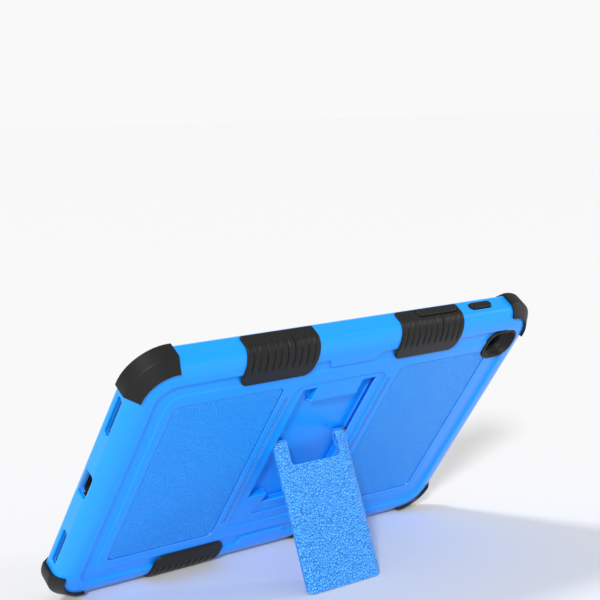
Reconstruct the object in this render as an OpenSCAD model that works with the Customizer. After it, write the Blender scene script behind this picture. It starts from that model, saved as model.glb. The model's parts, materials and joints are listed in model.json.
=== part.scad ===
// Two-part protective tablet case with a rubber liner, rubber corners and grips, and a kickstand
// that slides down its guide slots as it swings out.
//
// Every piece is drawn on the case lying flat: x runs along the long edge towards the camera end,
// y runs up the back towards the buttons, and z points out of the back, with the raised rim of the
// back at z = 0 and the front face at z = -case_depth. stand_up() leans the finished case on its
// open kickstand, with the bottom edge and the kickstand's foot both on the ground at z = 0.

/* [Tablet] */
// Length of the tablet that the case holds
tablet_length = 201.9; // [190:0.1:260]
// Width of the tablet
tablet_width = 125.2; // [104:0.1:160]
// Thickness of the tablet
tablet_depth = 7.1; // [6:0.1:10]
// Corner radius of the tablet
tablet_corner = 9; // [5:0.5:14]
// Gap between the tablet's edge and the liner
tablet_gap = 0.25; // [0.1:0.05:0.6]
// Gap over each face of the tablet
face_gap = 0.1; // [0.05:0.05:0.3]

/* [Case] */
// Width of the case beyond the tablet at the two short ends
end_build = 5.8; // [5.6:0.1:9]
// Width of the case beyond the tablet at the two long sides
side_build = 6.15; // [5.6:0.05:9]
// Corner radius of the case seen from the back
corner_radius = 20; // [19:0.5:26]
// Thickness of the front frame over the tablet's edge
lip_depth = 1.6; // [1.4:0.1:2.4]
// Distance from the back rim to the joint between back shell and front frame
seam_depth = 11.3; // [11:0.1:11.6]

/* [Back shell] */
// Thickness of the shell's side wall
shell_wall = 2; // [1.8:0.1:2.4]
// Thickness of the shell's back plate
plate_depth = 2.3; // [1.8:0.1:2.6]
// Depth of the rounded edge between side and back
rounding_depth = 6; // [4:0.5:7]
// Width of the rounded edge, from the side to the raised rim
crest_inset = 9.5; // [8:0.5:10.5]
// Width of the flat top of the raised rim
crest_flat = 1; // [0.5:0.1:1.5]
// Distance from the side to the bottom of the channel inside the rim
channel_inset = 13; // [12.5:0.1:15]
// Depth of the channel inside the rim
channel_depth = 1; // [0.6:0.1:1.2]
// Distance from the side to the flat border round the panels
border_inset = 17.5; // [16:0.1:18.5]
// Depth of the flat border below the rim
border_depth = 0.4; // [0.2:0.05:0.5]
// Distance from the long side to a panel
panel_side_margin = 22.7; // [20:0.1:30]
// Distance from the short end to a panel
panel_end_margin = 20.9; // [20:0.1:30]
// Corner radius of a panel
panel_corner = 3; // [1:0.5:6]
// Depth of a panel below the border
panel_depth = 0.25; // [0.1:0.05:0.4]
// Width of the fine groove round a panel
panel_groove = 0.5; // [0.3:0.1:1]
// Length of the raised pads on the rim between the grips
rim_pad_length = 29.6; // [16:0.1:36]
// Distance that a raised pad reaches in from the rim
rim_pad_reach = 4.5; // [3:0.1:5]
// Slant of a raised pad's two ends
rim_pad_slant = 2.8; // [1:0.1:5]

/* [Front frame] */
// Width of the frame's flat and sloping border over the long sides of the tablet
side_border = 11.5; // [9:0.1:14]
// Width of the frame's border over the short ends of the tablet
end_border = 15.5; // [12:0.1:18]
// Corner radius of the screen window
window_corner = 3; // [1:0.5:6]
// Distance from the side at which the flat face starts
bevel_inset = 7.6; // [6:0.1:9]
// Distance from the side at which the bevel turns steeper
bevel_break = 3.3; // [2:0.1:4.5]
// Fall of the shallow part of the bevel
bevel_fall = 0.7; // [0.4:0.05:0.9]
// Thickness of the tongue that enters the back shell
tongue_wall = 1.2; // [0.8:0.1:1.4]
// Length of the tongue past the seam
tongue_reach = 2.2; // [1.5:0.1:2.6]
// Length of each snap catch on the tongue
catch_length = 10; // [5:1:16]
// Radius of each snap catch
catch_radius = 0.45; // [0.3:0.05:0.6]
// Distance of the snap catches from the tongue's edge
catch_margin = 0.7; // [0.6:0.05:1]
// Length of the front camera slot
lens_slot_length = 8.5; // [6:0.1:14]
// Width of the front camera slot
lens_slot_width = 5.2; // [3:0.1:7]
// Distance of the front camera slot from the camera end
lens_slot_margin = 11.5; // [9:0.1:12.5]
// Offset of the front camera slot across the case
lens_slot_offset = -7.6; // [-20:0.1:20]

/* [Rubber corners and grips] */
// Distance that a corner bumper reaches from each side
bumper_reach = 21.5; // [20.5:0.1:28]
// Height of a bumper above the hard shell
bumper_proud = 1.5; // [0.8:0.1:2.5]
// Depth that a bumper is let into the hard shell
bumper_seat = 0.5; // [0.3:0.05:0.6]
// Distance that a bumper wraps over the front bevel
bumper_front_wrap = 5.4; // [4:0.1:7]
// Angle round the rounded edge at which a bumper stops
bumper_back_angle = 56; // [40:1:75]
// Length of a side grip
grip_length = 36.7; // [25:0.1:40]
// Distance of a side grip from the short end
grip_margin = 48; // [47:0.1:60]
// Distance that a side grip wraps on to the back
grip_reach = 16.8; // [15.5:0.1:17.4]
// Height of a grip above the hard shell
grip_proud = 0.9; // [0.5:0.1:1.6]
// Distance of a grip from the joint with the front frame
grip_seam_gap = 0.4; // [0.2:0.1:1]
// Depth that a grip is let into the hard shell
grip_seat = 0.8; // [0.4:0.05:0.9]
// Corner radius of a grip's lip on the back
grip_corner = 5; // [2:0.5:6]
// Number of grooves across a grip
grip_grooves = 10; // [6:1:14]
// Width of one groove
groove_width = 1.3; // [0.8:0.1:1.8]
// Depth of one groove
groove_depth = 0.6; // [0.3:0.1:0.8]
// Length of a groove on the flat side, before the rounded edge
groove_lead = 1.2; // [0.2:0.1:3]

/* [Camera and ports] */
// Distance of the camera opening from the camera end
camera_end_margin = 17; // [15:0.1:24]
// Distance of the camera opening from the button side
camera_side_margin = 19.3; // [17:0.1:26]
// Outside length of the camera collar
collar_length = 18.6; // [16:0.1:24]
// Outside width of the camera collar
collar_width = 17; // [15:0.1:24]
// Corner radius of the camera collar
collar_corner = 7; // [4:0.5:8]
// Height of the camera collar above the rim
collar_proud = 0.3; // [0:0.1:1]
// Width of the square camera hole
camera_hole = 11; // [8:0.5:13]
// Width of the step round the camera hole
collar_step = 1.2; // [0.5:0.1:1.5]
// Depth of that step below the rim
collar_step_depth = 1; // [0.5:0.1:1.5]
// Distance of the port and button centres from the back rim
port_depth = 7.95; // [7.5:0.05:8.2]
// Length of the charging opening
charge_length = 13; // [10:0.1:16]
// Width of the charging opening
charge_width = 6.1; // [5:0.1:6.2]
// Corner radius of the charging opening
charge_corner = 1.2; // [0.5:0.1:2.4]
// Length of each speaker slot
speaker_length = 20; // [12:0.5:24]
// Width of each speaker slot
speaker_width = 3; // [2:0.1:4]
// Distance of each speaker slot from the middle of the end
speaker_offset = 38.5; // [28:0.5:44]
// Diameter of the headphone opening
jack_diameter = 6.1; // [5:0.1:6.2]
// Distance of the headphone opening from the middle of the camera end
jack_offset = 13; // [0:0.5:30]

/* [Buttons] */
// Length of the power button
power_length = 13; // [8:0.5:16]
// Distance of the power button from the camera end
power_margin = 34.5; // [31:0.1:36]
// Length of the volume button
volume_length = 23.5; // [15:0.5:26]
// Distance of the volume button from the camera end
volume_margin = 62.2; // [61:0.1:66]
// Width of both buttons
button_width = 3.6; // [3:0.1:4.4]
// Height of the power button above the shell
power_proud = 0.9; // [0.7:0.1:1.5]
// Height of the volume button above the shell
volume_proud = 1.5; // [1.4:0.1:2.2]
// Width of the flange that keeps a button in
button_flange = 1.1; // [0.8:0.1:1.5]
// Thickness of the flange
flange_depth = 0.9; // [0.7:0.1:1.1]
// Travel of both buttons
button_travel = 0.6; // [0.4:0.1:0.8]
// Gap round a moving button
button_gap = 0.3; // [0.2:0.05:0.4]

/* [Kickstand] */
// Angle between the open leg and the back
leg_angle = 56.8; // [40:0.1:60]
// Lean of the standing case from the vertical
lean_angle = 37.3; // [25:0.1:40]
// Width of the leg
leg_width = 40; // [30:0.5:48]
// Thickness of the leg
leg_depth = 3; // [2.6:0.1:3.2]
// Width of the notch at the leg's hinge end
notch_width = 27; // [16:0.5:30]
// Depth of that notch
notch_depth = 11.8; // [9:0.1:16]
// Width of the chamfer along the leg's long edges
leg_chamfer = 3; // [0.5:0.1:3]
// Height of that chamfer
leg_chamfer_depth = 1.4; // [0.3:0.1:1.4]
// Slant of the foot's end face
foot_bevel = 32; // [29:1:45]
// Diameter of the hinge pins
pin_diameter = 1.6; // [1.2:0.1:1.8]
// Depth of a pin in the leg
pin_grip = 4.5; // [3:0.1:5]
// Depth of the guide slots in the recess walls
slot_depth = 1.3; // [0.8:0.1:1.6]
// Radial running clearance of a pin in the leg and in its slot
pin_clearance = 0.08; // [0.03:0.01:0.1]
// Gap between the leg and the recess
leg_gap = 0.3; // [0.2:0.05:0.5]
// Distance of the shallow dish from the long sides
dish_side_margin = 24.2; // [22:0.1:30]
// Width of the dish beside the leg
dish_rim = 4.9; // [4.6:0.1:8]
// Depth of the dish below the rim
dish_depth = 0.8; // [0.6:0.05:1]
// Corner radius of the dish
dish_corner = 5.5; // [3:0.5:8]
// Distance from the dish's upper edge to the recess
dish_top_rim = 3.2; // [2.5:0.1:5]
// Distance from the dish's lower edge to the end wedges
dish_bottom_rim = 6.1; // [4:0.1:9]
// Length of the wedges beyond the leg's foot
wedge_length = 13.5; // [9:0.1:16]
// Half width of the finger gap at the leg's foot
finger_gap = 9.4; // [7:0.1:12]
// Widening of the finger gap along the wedges, on each side
finger_flare = 3.75; // [1:0.05:5]
// Length of the deep part of the finger gap
finger_depth_length = 6.6; // [4:0.1:8]
// Depth of the shallow part of the finger gap below the dish
finger_ledge_depth = 0.6; // [0.3:0.1:1.2]
// Length of the tongue that fills the leg's notch
tab_length = 8.3; // [5:0.1:9]
// Gap on each side of that tongue
tab_gap = 1; // [0.4:0.1:2]
// Wall round the recess inside the case
recess_wall = 2.2; // [2:0.1:3]
// Thickness of the recess floor, which the tablet rests on
recess_floor = 0.8; // [0.6:0.1:1.2]
// Distance from the dish to the fine double groove
line_gap = 2.4; // [1.5:0.1:4]
// Distance between the two fine grooves
line_pitch = 1.1; // [0.9:0.1:2]
// Width of a fine groove
line_width = 0.6; // [0.3:0.1:0.8]
// Depth of a fine groove
line_depth = 0.3; // [0.1:0.05:0.5]
// Length of the pointed ends of a fine groove
line_point = 3; // [1:0.5:6]
// Distance of a fine groove's points from the ends of the dish
line_margin = 2.5; // [0:0.5:8]
// Distance from the dish to the panels
panel_gap = 6.7; // [5:0.1:12]

/* [Hidden] */
$fn = 48;

BLUE = [0.11, 0.56, 1.0];
RUBBER = [0.2, 0.19, 0.18];
STEEL = [0.75, 0.76, 0.78];

// Pieces of one body that touch are drawn with this gap where they only slide together once.
seat_gap = 0.05;
// Cuts run this far past the faces they open.
over = 1;
// Raised shapes start this far below the face they stand on.
sunk = 0.5;
// Number of straight steps in the rounded edge.
rounding_steps = 8;

recess_depth = dish_depth + leg_depth + leg_gap;
back_build = recess_depth + recess_floor;
half_length = tablet_length / 2 + tablet_gap + end_build;
half_width = tablet_width / 2 + tablet_gap + side_build;
bay_length = tablet_length + 2 * tablet_gap;
bay_width = tablet_width + 2 * tablet_gap;
bay_depth = tablet_depth + 2 * face_gap;
case_depth = back_build + bay_depth + lip_depth;
frame_back = case_depth - lip_depth;
tongue_back = seam_depth - tongue_reach;
liner_back = border_depth + plate_depth;

// The dish and the recess keep their distance from the long sides.
dish_top = half_width - dish_side_margin;
dish_half_width = leg_width / 2 + leg_gap + dish_rim;
recess_top = dish_top - dish_top_rim;
recess_half_width = leg_width / 2 + leg_gap;
recess_bottom = -dish_top + dish_bottom_rim;
foot_closed = recess_bottom + wedge_length;
pivot_depth = dish_depth + leg_depth / 2;
pivot_closed = recess_top - leg_gap - leg_depth / 2;
leg_length = pivot_closed - foot_closed;
pin_radius = pin_diameter / 2;
hole_corner = camera_hole / 4;
end_catch_offset = half_width / 3;
flange_front = half_width - shell_wall - button_gap;
flange_reach = button_flange + button_gap;
// The catches of the long sides stand clear of the volume button's flange.
side_catch_offset = half_length - volume_margin - volume_length / 2 - flange_reach - button_gap
    - catch_length / 2;
// Distance from the camera end and length of each button.
button_places = [[power_margin, power_length], [volume_margin, volume_length]];

// Points of the outside, as [distance in from the side, height].
function rounding_point(a) = [crest_inset * (1 - cos(a)), -rounding_depth * (1 - sin(a))];
function rounding_to(angle) = [
    for (i = [0:rounding_steps]) rounding_point(angle * i / rounding_steps)
];
function level_on_bevel(inset) =
    -case_depth + bevel_fall * (bevel_inset - inset) / (bevel_inset - bevel_break);
bevel = [[bevel_break, level_on_bevel(bevel_break)], [0, -seam_depth]];
bumper_path = concat(
    [[bumper_front_wrap, level_on_bevel(bumper_front_wrap)]], bevel, rounding_to(bumper_back_angle));
grip_path = concat(
    [[0, -seam_depth + grip_seam_gap]], rounding_to(90),
    [[crest_inset + crest_flat, 0], [grip_reach, -border_depth]]);
groove_path = concat([[0, -rounding_depth - groove_lead]], rounding_to(90));

// Moves a path sideways: a positive distance moves it out of the case.
function unit(v) = v / norm(v);
function left_of(v) = [-v[1], v[0]];
function step_direction(path, i) =
    unit(path[min(i + 1, len(path) - 1)] - path[max(i - 1, 0)]);
function shifted(path, distance) = [
    for (i = [0:len(path) - 1]) path[i] + distance * left_of(step_direction(path, i))
];
function reversed(path) = [for (i = [len(path) - 1:-1:0]) path[i]];
function band(path, outside, inside) =
    concat(shifted(path, outside), reversed(shifted(path, -inside)));

// Standing position. A point at [y, z] on the flat case stands at this height and this depth.
function height_of(p) = p[0] * cos(lean_angle) - p[1] * sin(lean_angle);
function depth_of(p) = -p[0] * sin(lean_angle) - p[1] * cos(lean_angle);
bumper_outside = shifted(bumper_path, bumper_proud);
lower_edge = [for (p = bumper_outside) [-half_width + p[0], p[1]]];
upper_edge = [for (p = bumper_outside) [half_width - p[0], p[1]]];
ground_drop = -min([for (p = lower_edge) height_of(p)]);
foot_offset = leg_length * [-cos(leg_angle), sin(leg_angle)]
    + leg_depth / 2 * [sin(leg_angle), cos(leg_angle)];
pivot_open = (-ground_drop - height_of(foot_offset) - pivot_depth * sin(lean_angle))
    / cos(lean_angle);
pin_travel = pivot_closed - pivot_open;
edge_depths = [for (p = concat(lower_edge, upper_edge)) depth_of(p)];
middle_shift = -(min(edge_depths) + max(edge_depths)) / 2;

module stand_up() {
    translate([0, middle_shift, ground_drop]) rotate([90 + lean_angle, 0, 0]) children();
}

// A rectangle with round corners, centred.
module rounded_rectangle(length, width, radius) {
    union() {
        if (length > 2 * radius) square([length - 2 * radius, width], center = true);
        if (width > 2 * radius) square([length, width - 2 * radius], center = true);
        for (x = [-1, 1], y = [-1, 1])
            translate([x * (length / 2 - radius), y * (width / 2 - radius)]) circle(radius);
    }
}

// A block with round corners between two heights.
module rounded_block(length, width, radius, low, high) {
    translate([0, 0, low]) linear_extrude(high - low) rounded_rectangle(length, width, radius);
}

// Draws a profile along the long side at +y, between two x values.
module along_side(from, to) {
    translate([from, half_width, 0]) rotate([90, 0, 90])
        linear_extrude(to - from) mirror([1, 0]) children();
}

// Draws a profile along the short end at +x, between two y values.
module along_end(from, to) {
    translate([half_length, to, 0]) rotate([90, 0, 0])
        linear_extrude(to - from) mirror([1, 0]) children();
}

// Draws a profile round the corner at +x, +y, with a straight run on each side of it.
module round_corner(run) {
    x = half_length - corner_radius;
    y = half_width - corner_radius;
    translate([x, y, 0]) rotate_extrude(angle = 90)
        translate([corner_radius, 0]) mirror([1, 0]) children();
    along_side(x - run, x) children();
    along_end(y - run, y) children();
}

// Draws a profile all round the case.
module round_case() {
    for (x = [0, 1], y = [0, 1]) mirror([x, 0, 0]) mirror([0, y, 0]) {
        translate([half_length - corner_radius, half_width - corner_radius, 0])
            rotate_extrude(angle = 90) translate([corner_radius, 0]) mirror([1, 0]) children();
    }
    for (y = [0, 1]) mirror([0, y, 0])
        along_side(-half_length + corner_radius, half_length - corner_radius) children();
    for (x = [0, 1]) mirror([x, 0, 0])
        along_end(-half_width + corner_radius, half_width - corner_radius) children();
}

// A plate that closes the middle of what round_case() draws.
module middle_plate(low, high) {
    inner = corner_radius - over;
    translate([-half_length + inner, -half_width + inner, low])
        cube([2 * (half_length - inner), 2 * (half_width - inner), high - low]);
}

module shell_profile() {
    polygon(concat([[0, -seam_depth]], rounding_to(90), [
        [crest_inset + crest_flat, 0],
        [channel_inset, -channel_depth],
        [border_inset, -border_depth],
        [corner_radius, -border_depth],
        [corner_radius, -seam_depth]
    ]));
}

// Hollow of the back shell. The gap leaves room for what fits in it.
module hollow_profile(gap, front) {
    polygon([
        [shell_wall + gap, -front],
        [shell_wall + gap, -rounding_depth - gap],
        [crest_inset / 2 + gap, -liner_back - gap],
        [corner_radius, -liner_back - gap],
        [corner_radius, -front]
    ]);
}

module shell_hollow(gap, front) {
    round_case() hollow_profile(gap, front);
    middle_plate(-front, -liner_back - gap);
}

// A slot with round ends that runs out through the side at +y.
module side_slot(x, length, width, from, to) {
    translate([x, to, -port_depth]) rotate([90, 0, 0])
        linear_extrude(to - from) rounded_rectangle(length, width, width / 2);
}

// A slot with round ends that runs out through the end at +x.
module end_slot(y, length, width, radius, from, to) {
    translate([from, y, -port_depth]) rotate([90, 0, 90])
        linear_extrude(to - from) rounded_rectangle(length, width, radius);
}

// Openings for the charging plug, speakers and headphones, as solids to take away.
module port_cuts() {
    inside = bay_length / 2 - over;
    outside = half_length + over;
    mirror([1, 0, 0]) {
        end_slot(0, charge_length, charge_width, charge_corner, inside, outside);
        for (y = [-1, 1])
            end_slot(y * speaker_offset, speaker_length, speaker_width,
                speaker_width / 2, inside, outside);
    }
    translate([inside, jack_offset, -port_depth]) rotate([0, 90, 0])
        cylinder(h = outside - inside, d = jack_diameter);
}

module button_cuts(gap) {
    for (b = button_places)
        side_slot(half_length - b[0], b[1] + 2 * gap, button_width + 2 * gap,
            bay_width / 2 - over, half_width + over);
}

// Pockets behind the shell's wall for the flanges of the buttons.
module flange_cuts() {
    for (b = button_places)
        side_slot(half_length - b[0], b[1] + 2 * flange_reach, button_width + 2 * flange_reach,
            flange_front - flange_depth - button_travel - button_gap, half_width - shell_wall);
}

// Snap catches on the frame's tongue, or the grooves for them when fattened.
module catches(extra) {
    radius = catch_radius + extra;
    height = -tongue_back - catch_margin;
    for (y = [0, 1]) mirror([0, y, 0]) for (x = [-1, 1])
        translate([x * side_catch_offset, half_width - shell_wall - seat_gap, height])
            rotate([0, 90, 0]) cylinder(h = catch_length + 2 * extra, r = radius, center = true);
    translate([half_length - shell_wall - seat_gap, -end_catch_offset, height])
        rotate([90, 0, 0]) cylinder(h = catch_length + 2 * extra, r = radius, center = true);
    for (y = [-1, 1])
        translate([-half_length + shell_wall + seat_gap, y * speaker_offset / 2, height])
            rotate([90, 0, 0])
                cylinder(h = catch_length / 2 + 2 * extra, r = radius, center = true);
}

module at_camera() {
    translate([half_length - camera_end_margin, half_width - camera_side_margin, 0]) children();
}

module panel_outlines() {
    inner = dish_half_width + panel_gap;
    outer = half_length - panel_end_margin;
    for (x = [-1, 1])
        translate([x * (inner + outer) / 2, 0, 0])
            children();
}

module panel_shape(grow) {
    rounded_rectangle(
        half_length - panel_end_margin - dish_half_width - panel_gap + 2 * grow,
        2 * (half_width - panel_side_margin) + 2 * grow,
        panel_corner + grow);
}

// Sunk panels, each with a fine groove round it.
module panel_cuts() {
    panel_outlines() {
        translate([0, 0, -border_depth - panel_depth])
            linear_extrude(panel_depth + over) panel_shape(0);
        translate([0, 0, -border_depth - 2 * panel_depth]) linear_extrude(panel_depth + over)
            difference() {
                panel_shape(0);
                panel_shape(-panel_groove);
            }
    }
}

// Raised pads that join the rim to the border, half way along each long side.
module rim_pads() {
    outer = half_width - crest_inset + over;
    inner = half_width - crest_inset - crest_flat - rim_pad_reach;
    half = rim_pad_length / 2;
    narrow = half - rim_pad_slant;
    for (y = [0, 1]) mirror([0, y, 0]) translate([0, 0, -channel_depth - sunk])
        linear_extrude(channel_depth + sunk)
            polygon([[-half, outer], [half, outer], [narrow, inner], [-narrow, inner]]);
}

// Two fine grooves with pointed ends beside the dish.
module fine_grooves() {
    tip = dish_top - line_margin;
    side = tip - line_point;
    half = line_width / 2;
    for (x = [-1, 1], step = [0, line_pitch])
        translate([x * (dish_half_width + line_gap + step), 0, -border_depth - line_depth])
            linear_extrude(over)
                polygon([[-half, -side], [0, -tip], [half, -side],
                         [half, side], [0, tip], [-half, side]]);
}

module dish_cut() {
    rounded_block(2 * dish_half_width, 2 * dish_top, dish_corner, -dish_depth, over);
}

// Thick-walled tray that the leg folds into.
module recess_tray() {
    translate([-recess_half_width - recess_wall, recess_bottom - recess_wall, -back_build])
        cube([2 * (recess_half_width + recess_wall),
              recess_top - recess_bottom + 2 * recess_wall, back_build - dish_depth]);
}

function finger_half_width(distance) = finger_gap + finger_flare * distance / wedge_length;

// Space for the leg, the fingertip and the pins.
module recess_cut() {
    difference() {
        translate([-recess_half_width, foot_closed - leg_gap, -recess_depth])
            cube([2 * recess_half_width, recess_top - foot_closed + leg_gap, recess_depth + over]);
        translate([-notch_width / 2 + tab_gap, recess_top - tab_length, -recess_depth - over])
            cube([notch_width - 2 * tab_gap, tab_length + over, recess_depth - dish_depth + over]);
    }
    translate([0, foot_closed, -recess_depth]) linear_extrude(recess_depth + over)
        polygon([
            [-finger_gap, 0], [finger_gap, 0],
            [finger_half_width(finger_depth_length), -finger_depth_length],
            [-finger_half_width(finger_depth_length), -finger_depth_length]
        ]);
    ledge_from = finger_depth_length - sunk;
    translate([0, foot_closed, -dish_depth - finger_ledge_depth])
        linear_extrude(finger_ledge_depth + over)
        polygon([
            [-finger_half_width(ledge_from), -ledge_from],
            [finger_half_width(ledge_from), -ledge_from],
            [finger_half_width(wedge_length), -wedge_length],
            [-finger_half_width(wedge_length), -wedge_length]
        ]);
}

module guide_slots() {
    radius = pin_radius + pin_clearance;
    for (x = [0, 1]) mirror([x, 0, 0])
        translate([recess_half_width - over, 0, -pivot_depth]) {
            for (y = [pivot_open, pivot_closed])
                translate([0, y, 0]) rotate([0, 90, 0]) cylinder(h = slot_depth + over, r = radius);
            translate([0, pivot_open, -radius]) cube([slot_depth + over, pin_travel, 2 * radius]);
        }
}

// One corner bumper, or the space for it when fattened outwards.
module corner_band(extra) {
    round_corner(bumper_reach - corner_radius)
        polygon(band(bumper_path, bumper_proud + extra, bumper_seat));
}

module all_corners() {
    for (x = [0, 1], y = [0, 1]) mirror([x, 0, 0]) mirror([0, y, 0]) children();
}

// Body of one grip at +x, +y, or the space for it when fattened outwards.
module grip_body(extra) {
    far = half_length - grip_margin;
    reach = grip_reach + 2 * grip_corner;
    intersection() {
        along_side(far - grip_length, far) polygon(band(grip_path, grip_proud + extra, grip_seat));
        translate([far - grip_length / 2, half_width - grip_reach + reach / 2, -case_depth])
            linear_extrude(case_depth + 3 * over) rounded_rectangle(grip_length, reach, grip_corner);
    }
}

module grip() {
    far = half_length - grip_margin;
    pitch = (grip_length - 2 * groove_width) / grip_grooves;
    difference() {
        grip_body(0);
        for (i = [0:grip_grooves - 1]) {
            x = far - grip_length + groove_width / 2 + (i + 0.5) * pitch;
            along_side(x, x + groove_width)
                polygon(band(groove_path, grip_proud + over, groove_depth - grip_proud));
        }
    }
}

module back_shell() {
    color(BLUE) difference() {
        union() {
            difference() {
                union() {
                    round_case() shell_profile();
                    middle_plate(-seam_depth, -border_depth);
                    rim_pads();
                }
                shell_hollow(0, seam_depth + over);
            }
            recess_tray();
        }
        dish_cut();
        recess_cut();
        guide_slots();
        panel_cuts();
        fine_grooves();
        port_cuts();
        button_cuts(button_gap);
        flange_cuts();
        catches(seat_gap);
        all_corners() corner_band(over);
        all_corners() grip_body(over);
        at_camera() rounded_block(collar_length + 2 * seat_gap, collar_width + 2 * seat_gap,
            collar_corner, -case_depth, over);
    }
}

module front_frame() {
    color(BLUE) difference() {
        union() {
            round_case() polygon([
                [0, -seam_depth],
                [bevel_break, level_on_bevel(bevel_break)],
                [bevel_inset, -case_depth],
                [corner_radius, -case_depth],
                [corner_radius, -frame_back],
                [shell_wall + seat_gap + tongue_wall, -frame_back],
                [shell_wall + seat_gap + tongue_wall, -tongue_back],
                [shell_wall + seat_gap, -tongue_back],
                [shell_wall + seat_gap, -seam_depth]
            ]);
            catches(0);
        }
        rounded_block(2 * (half_length - end_border), 2 * (half_width - side_border),
            window_corner, -case_depth - over, 0);
        translate([half_length - lens_slot_margin, lens_slot_offset, 0]) rotate([0, 0, 90])
            rounded_block(lens_slot_length, lens_slot_width, lens_slot_width / 2,
                -case_depth - over, -frame_back + over);
        port_cuts();
        button_cuts(button_gap);
        flange_cuts();
        all_corners() corner_band(over);
    }
}

module inner_liner() {
    step = shell_wall + tongue_wall + 2 * seat_gap;
    color(RUBBER) difference() {
        shell_hollow(seat_gap, frame_back);
        // rebate for the front frame's tongue
        round_case() polygon([
            [0, -case_depth], [step, -case_depth], [step, -tongue_back + seat_gap],
            [0, -tongue_back + seat_gap]
        ]);
        rounded_block(bay_length, bay_width, tablet_corner, -case_depth, -back_build);
        // window round the kickstand's tray
        translate([-recess_half_width - recess_wall - seat_gap,
                   recess_bottom - recess_wall - seat_gap, -back_build - over])
            cube([2 * (recess_half_width + recess_wall + seat_gap),
                  recess_top - recess_bottom + 2 * (recess_wall + seat_gap), back_build]);
        at_camera() rounded_block(camera_hole, camera_hole, hole_corner, -case_depth, over);
        port_cuts();
        button_cuts(button_gap);
        flange_cuts();
    }
}

module camera_collar() {
    step = camera_hole + 2 * collar_step;
    color(RUBBER) at_camera() difference() {
        rounded_block(collar_length, collar_width, collar_corner,
            -liner_back - seat_gap, collar_proud);
        rounded_block(camera_hole, camera_hole, hole_corner, -case_depth, over);
        rounded_block(step, step, hole_corner + collar_step, -collar_step_depth, over);
    }
}

// A button that slides in through the shell, kept in by a flange behind the wall.
module button(margin, length, proud) {
    side_slot(half_length - margin, length, button_width,
        bay_width / 2 + button_travel + button_gap, half_width + proud);
    side_slot(half_length - margin, length + 2 * button_flange, button_width + 2 * button_flange,
        flange_front - flange_depth, flange_front);
}

module power_button() {
    color(RUBBER) button(power_margin, power_length, power_proud);
}

module volume_button() {
    color(RUBBER) button(volume_margin, volume_length, volume_proud);
}

// The leg lying in its recess with its pivot at the origin.
module folded_leg() {
    half = leg_depth / 2;
    bore_x = leg_width / 2 - pin_grip;
    difference() {
        union() {
            translate([-leg_width / 2, 0, 0]) rotate([0, 90, 0]) cylinder(h = leg_width, d = leg_depth);
            rotate([90, 0, 0]) linear_extrude(leg_length)
                polygon([
                    [-leg_width / 2, -half], [leg_width / 2, -half],
                    [leg_width / 2, half - leg_chamfer_depth],
                    [leg_width / 2 - leg_chamfer, half],
                    [-leg_width / 2 + leg_chamfer, half],
                    [-leg_width / 2, half - leg_chamfer_depth]
                ]);
        }
        translate([-notch_width / 2, -notch_depth + half, -leg_depth])
            cube([notch_width, notch_depth + leg_depth, 2 * leg_depth]);
        // slanted end of the foot
        translate([0, -leg_length, half]) rotate([foot_bevel, 0, 0])
            translate([-leg_width, -2 * leg_depth, -3 * leg_depth])
                cube([2 * leg_width, 2 * leg_depth, 4 * leg_depth]);
        for (x = [0, 1]) mirror([x, 0, 0])
            translate([bore_x - pin_clearance, 0, 0]) rotate([0, 90, 0])
                cylinder(h = pin_grip + over, r = pin_radius + pin_clearance);
    }
}

module at_pivot() {
    translate([0, pivot_open, -pivot_depth]) children();
}

module kickstand_leg() {
    color(BLUE) at_pivot() rotate([-leg_angle, 0, 0]) folded_leg();
}

module hinge_pin() {
    length = pin_grip + leg_gap + slot_depth - 2 * pin_clearance;
    color(STEEL) at_pivot() translate([leg_width / 2 - pin_grip, 0, 0])
        rotate([0, 90, 0]) cylinder(h = length, r = pin_radius);
}

stand_up() back_shell();
stand_up() front_frame();
stand_up() inner_liner();
stand_up() camera_collar();
stand_up() color(RUBBER) corner_band(0);  // bumper_camera_top
stand_up() mirror([0, 1, 0]) color(RUBBER) corner_band(0);  // bumper_camera_bottom
stand_up() mirror([1, 0, 0]) color(RUBBER) corner_band(0);  // bumper_port_top
stand_up() mirror([1, 0, 0]) mirror([0, 1, 0]) color(RUBBER) corner_band(0);  // bumper_port_bottom
stand_up() color(RUBBER) difference() {  // grip_camera_top
        grip();
        button_cuts(button_gap);
    }
stand_up() mirror([0, 1, 0]) color(RUBBER) grip();  // grip_camera_bottom
stand_up() mirror([1, 0, 0]) color(RUBBER) grip();  // grip_port_top
stand_up() mirror([1, 0, 0]) mirror([0, 1, 0]) color(RUBBER) grip();  // grip_port_bottom
stand_up() power_button();
stand_up() volume_button();
stand_up() kickstand_leg();
stand_up() hinge_pin();  // hinge_pin_camera_side
stand_up() mirror([1, 0, 0]) hinge_pin();  // hinge_pin_port_side
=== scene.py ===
"""A rugged tablet case leaning on its open kickstand, built round its CAD frame.

Every piece is drawn on the case lying flat, in millimetres: x runs along the long edge towards the
camera end, y runs up the back towards the buttons, and z points out of the back, with the raised rim
of the back at z = 0. Stance then stands the finished mesh up where the CAD frame says.
"""
import json
import logging
import math
from dataclasses import dataclass, field
from enum import Enum
from typing import Iterable, Sequence

import bmesh
import bpy
from bmesh.types import BMEdge, BMFace, BMVert
from mathutils import Matrix, Vector


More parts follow.
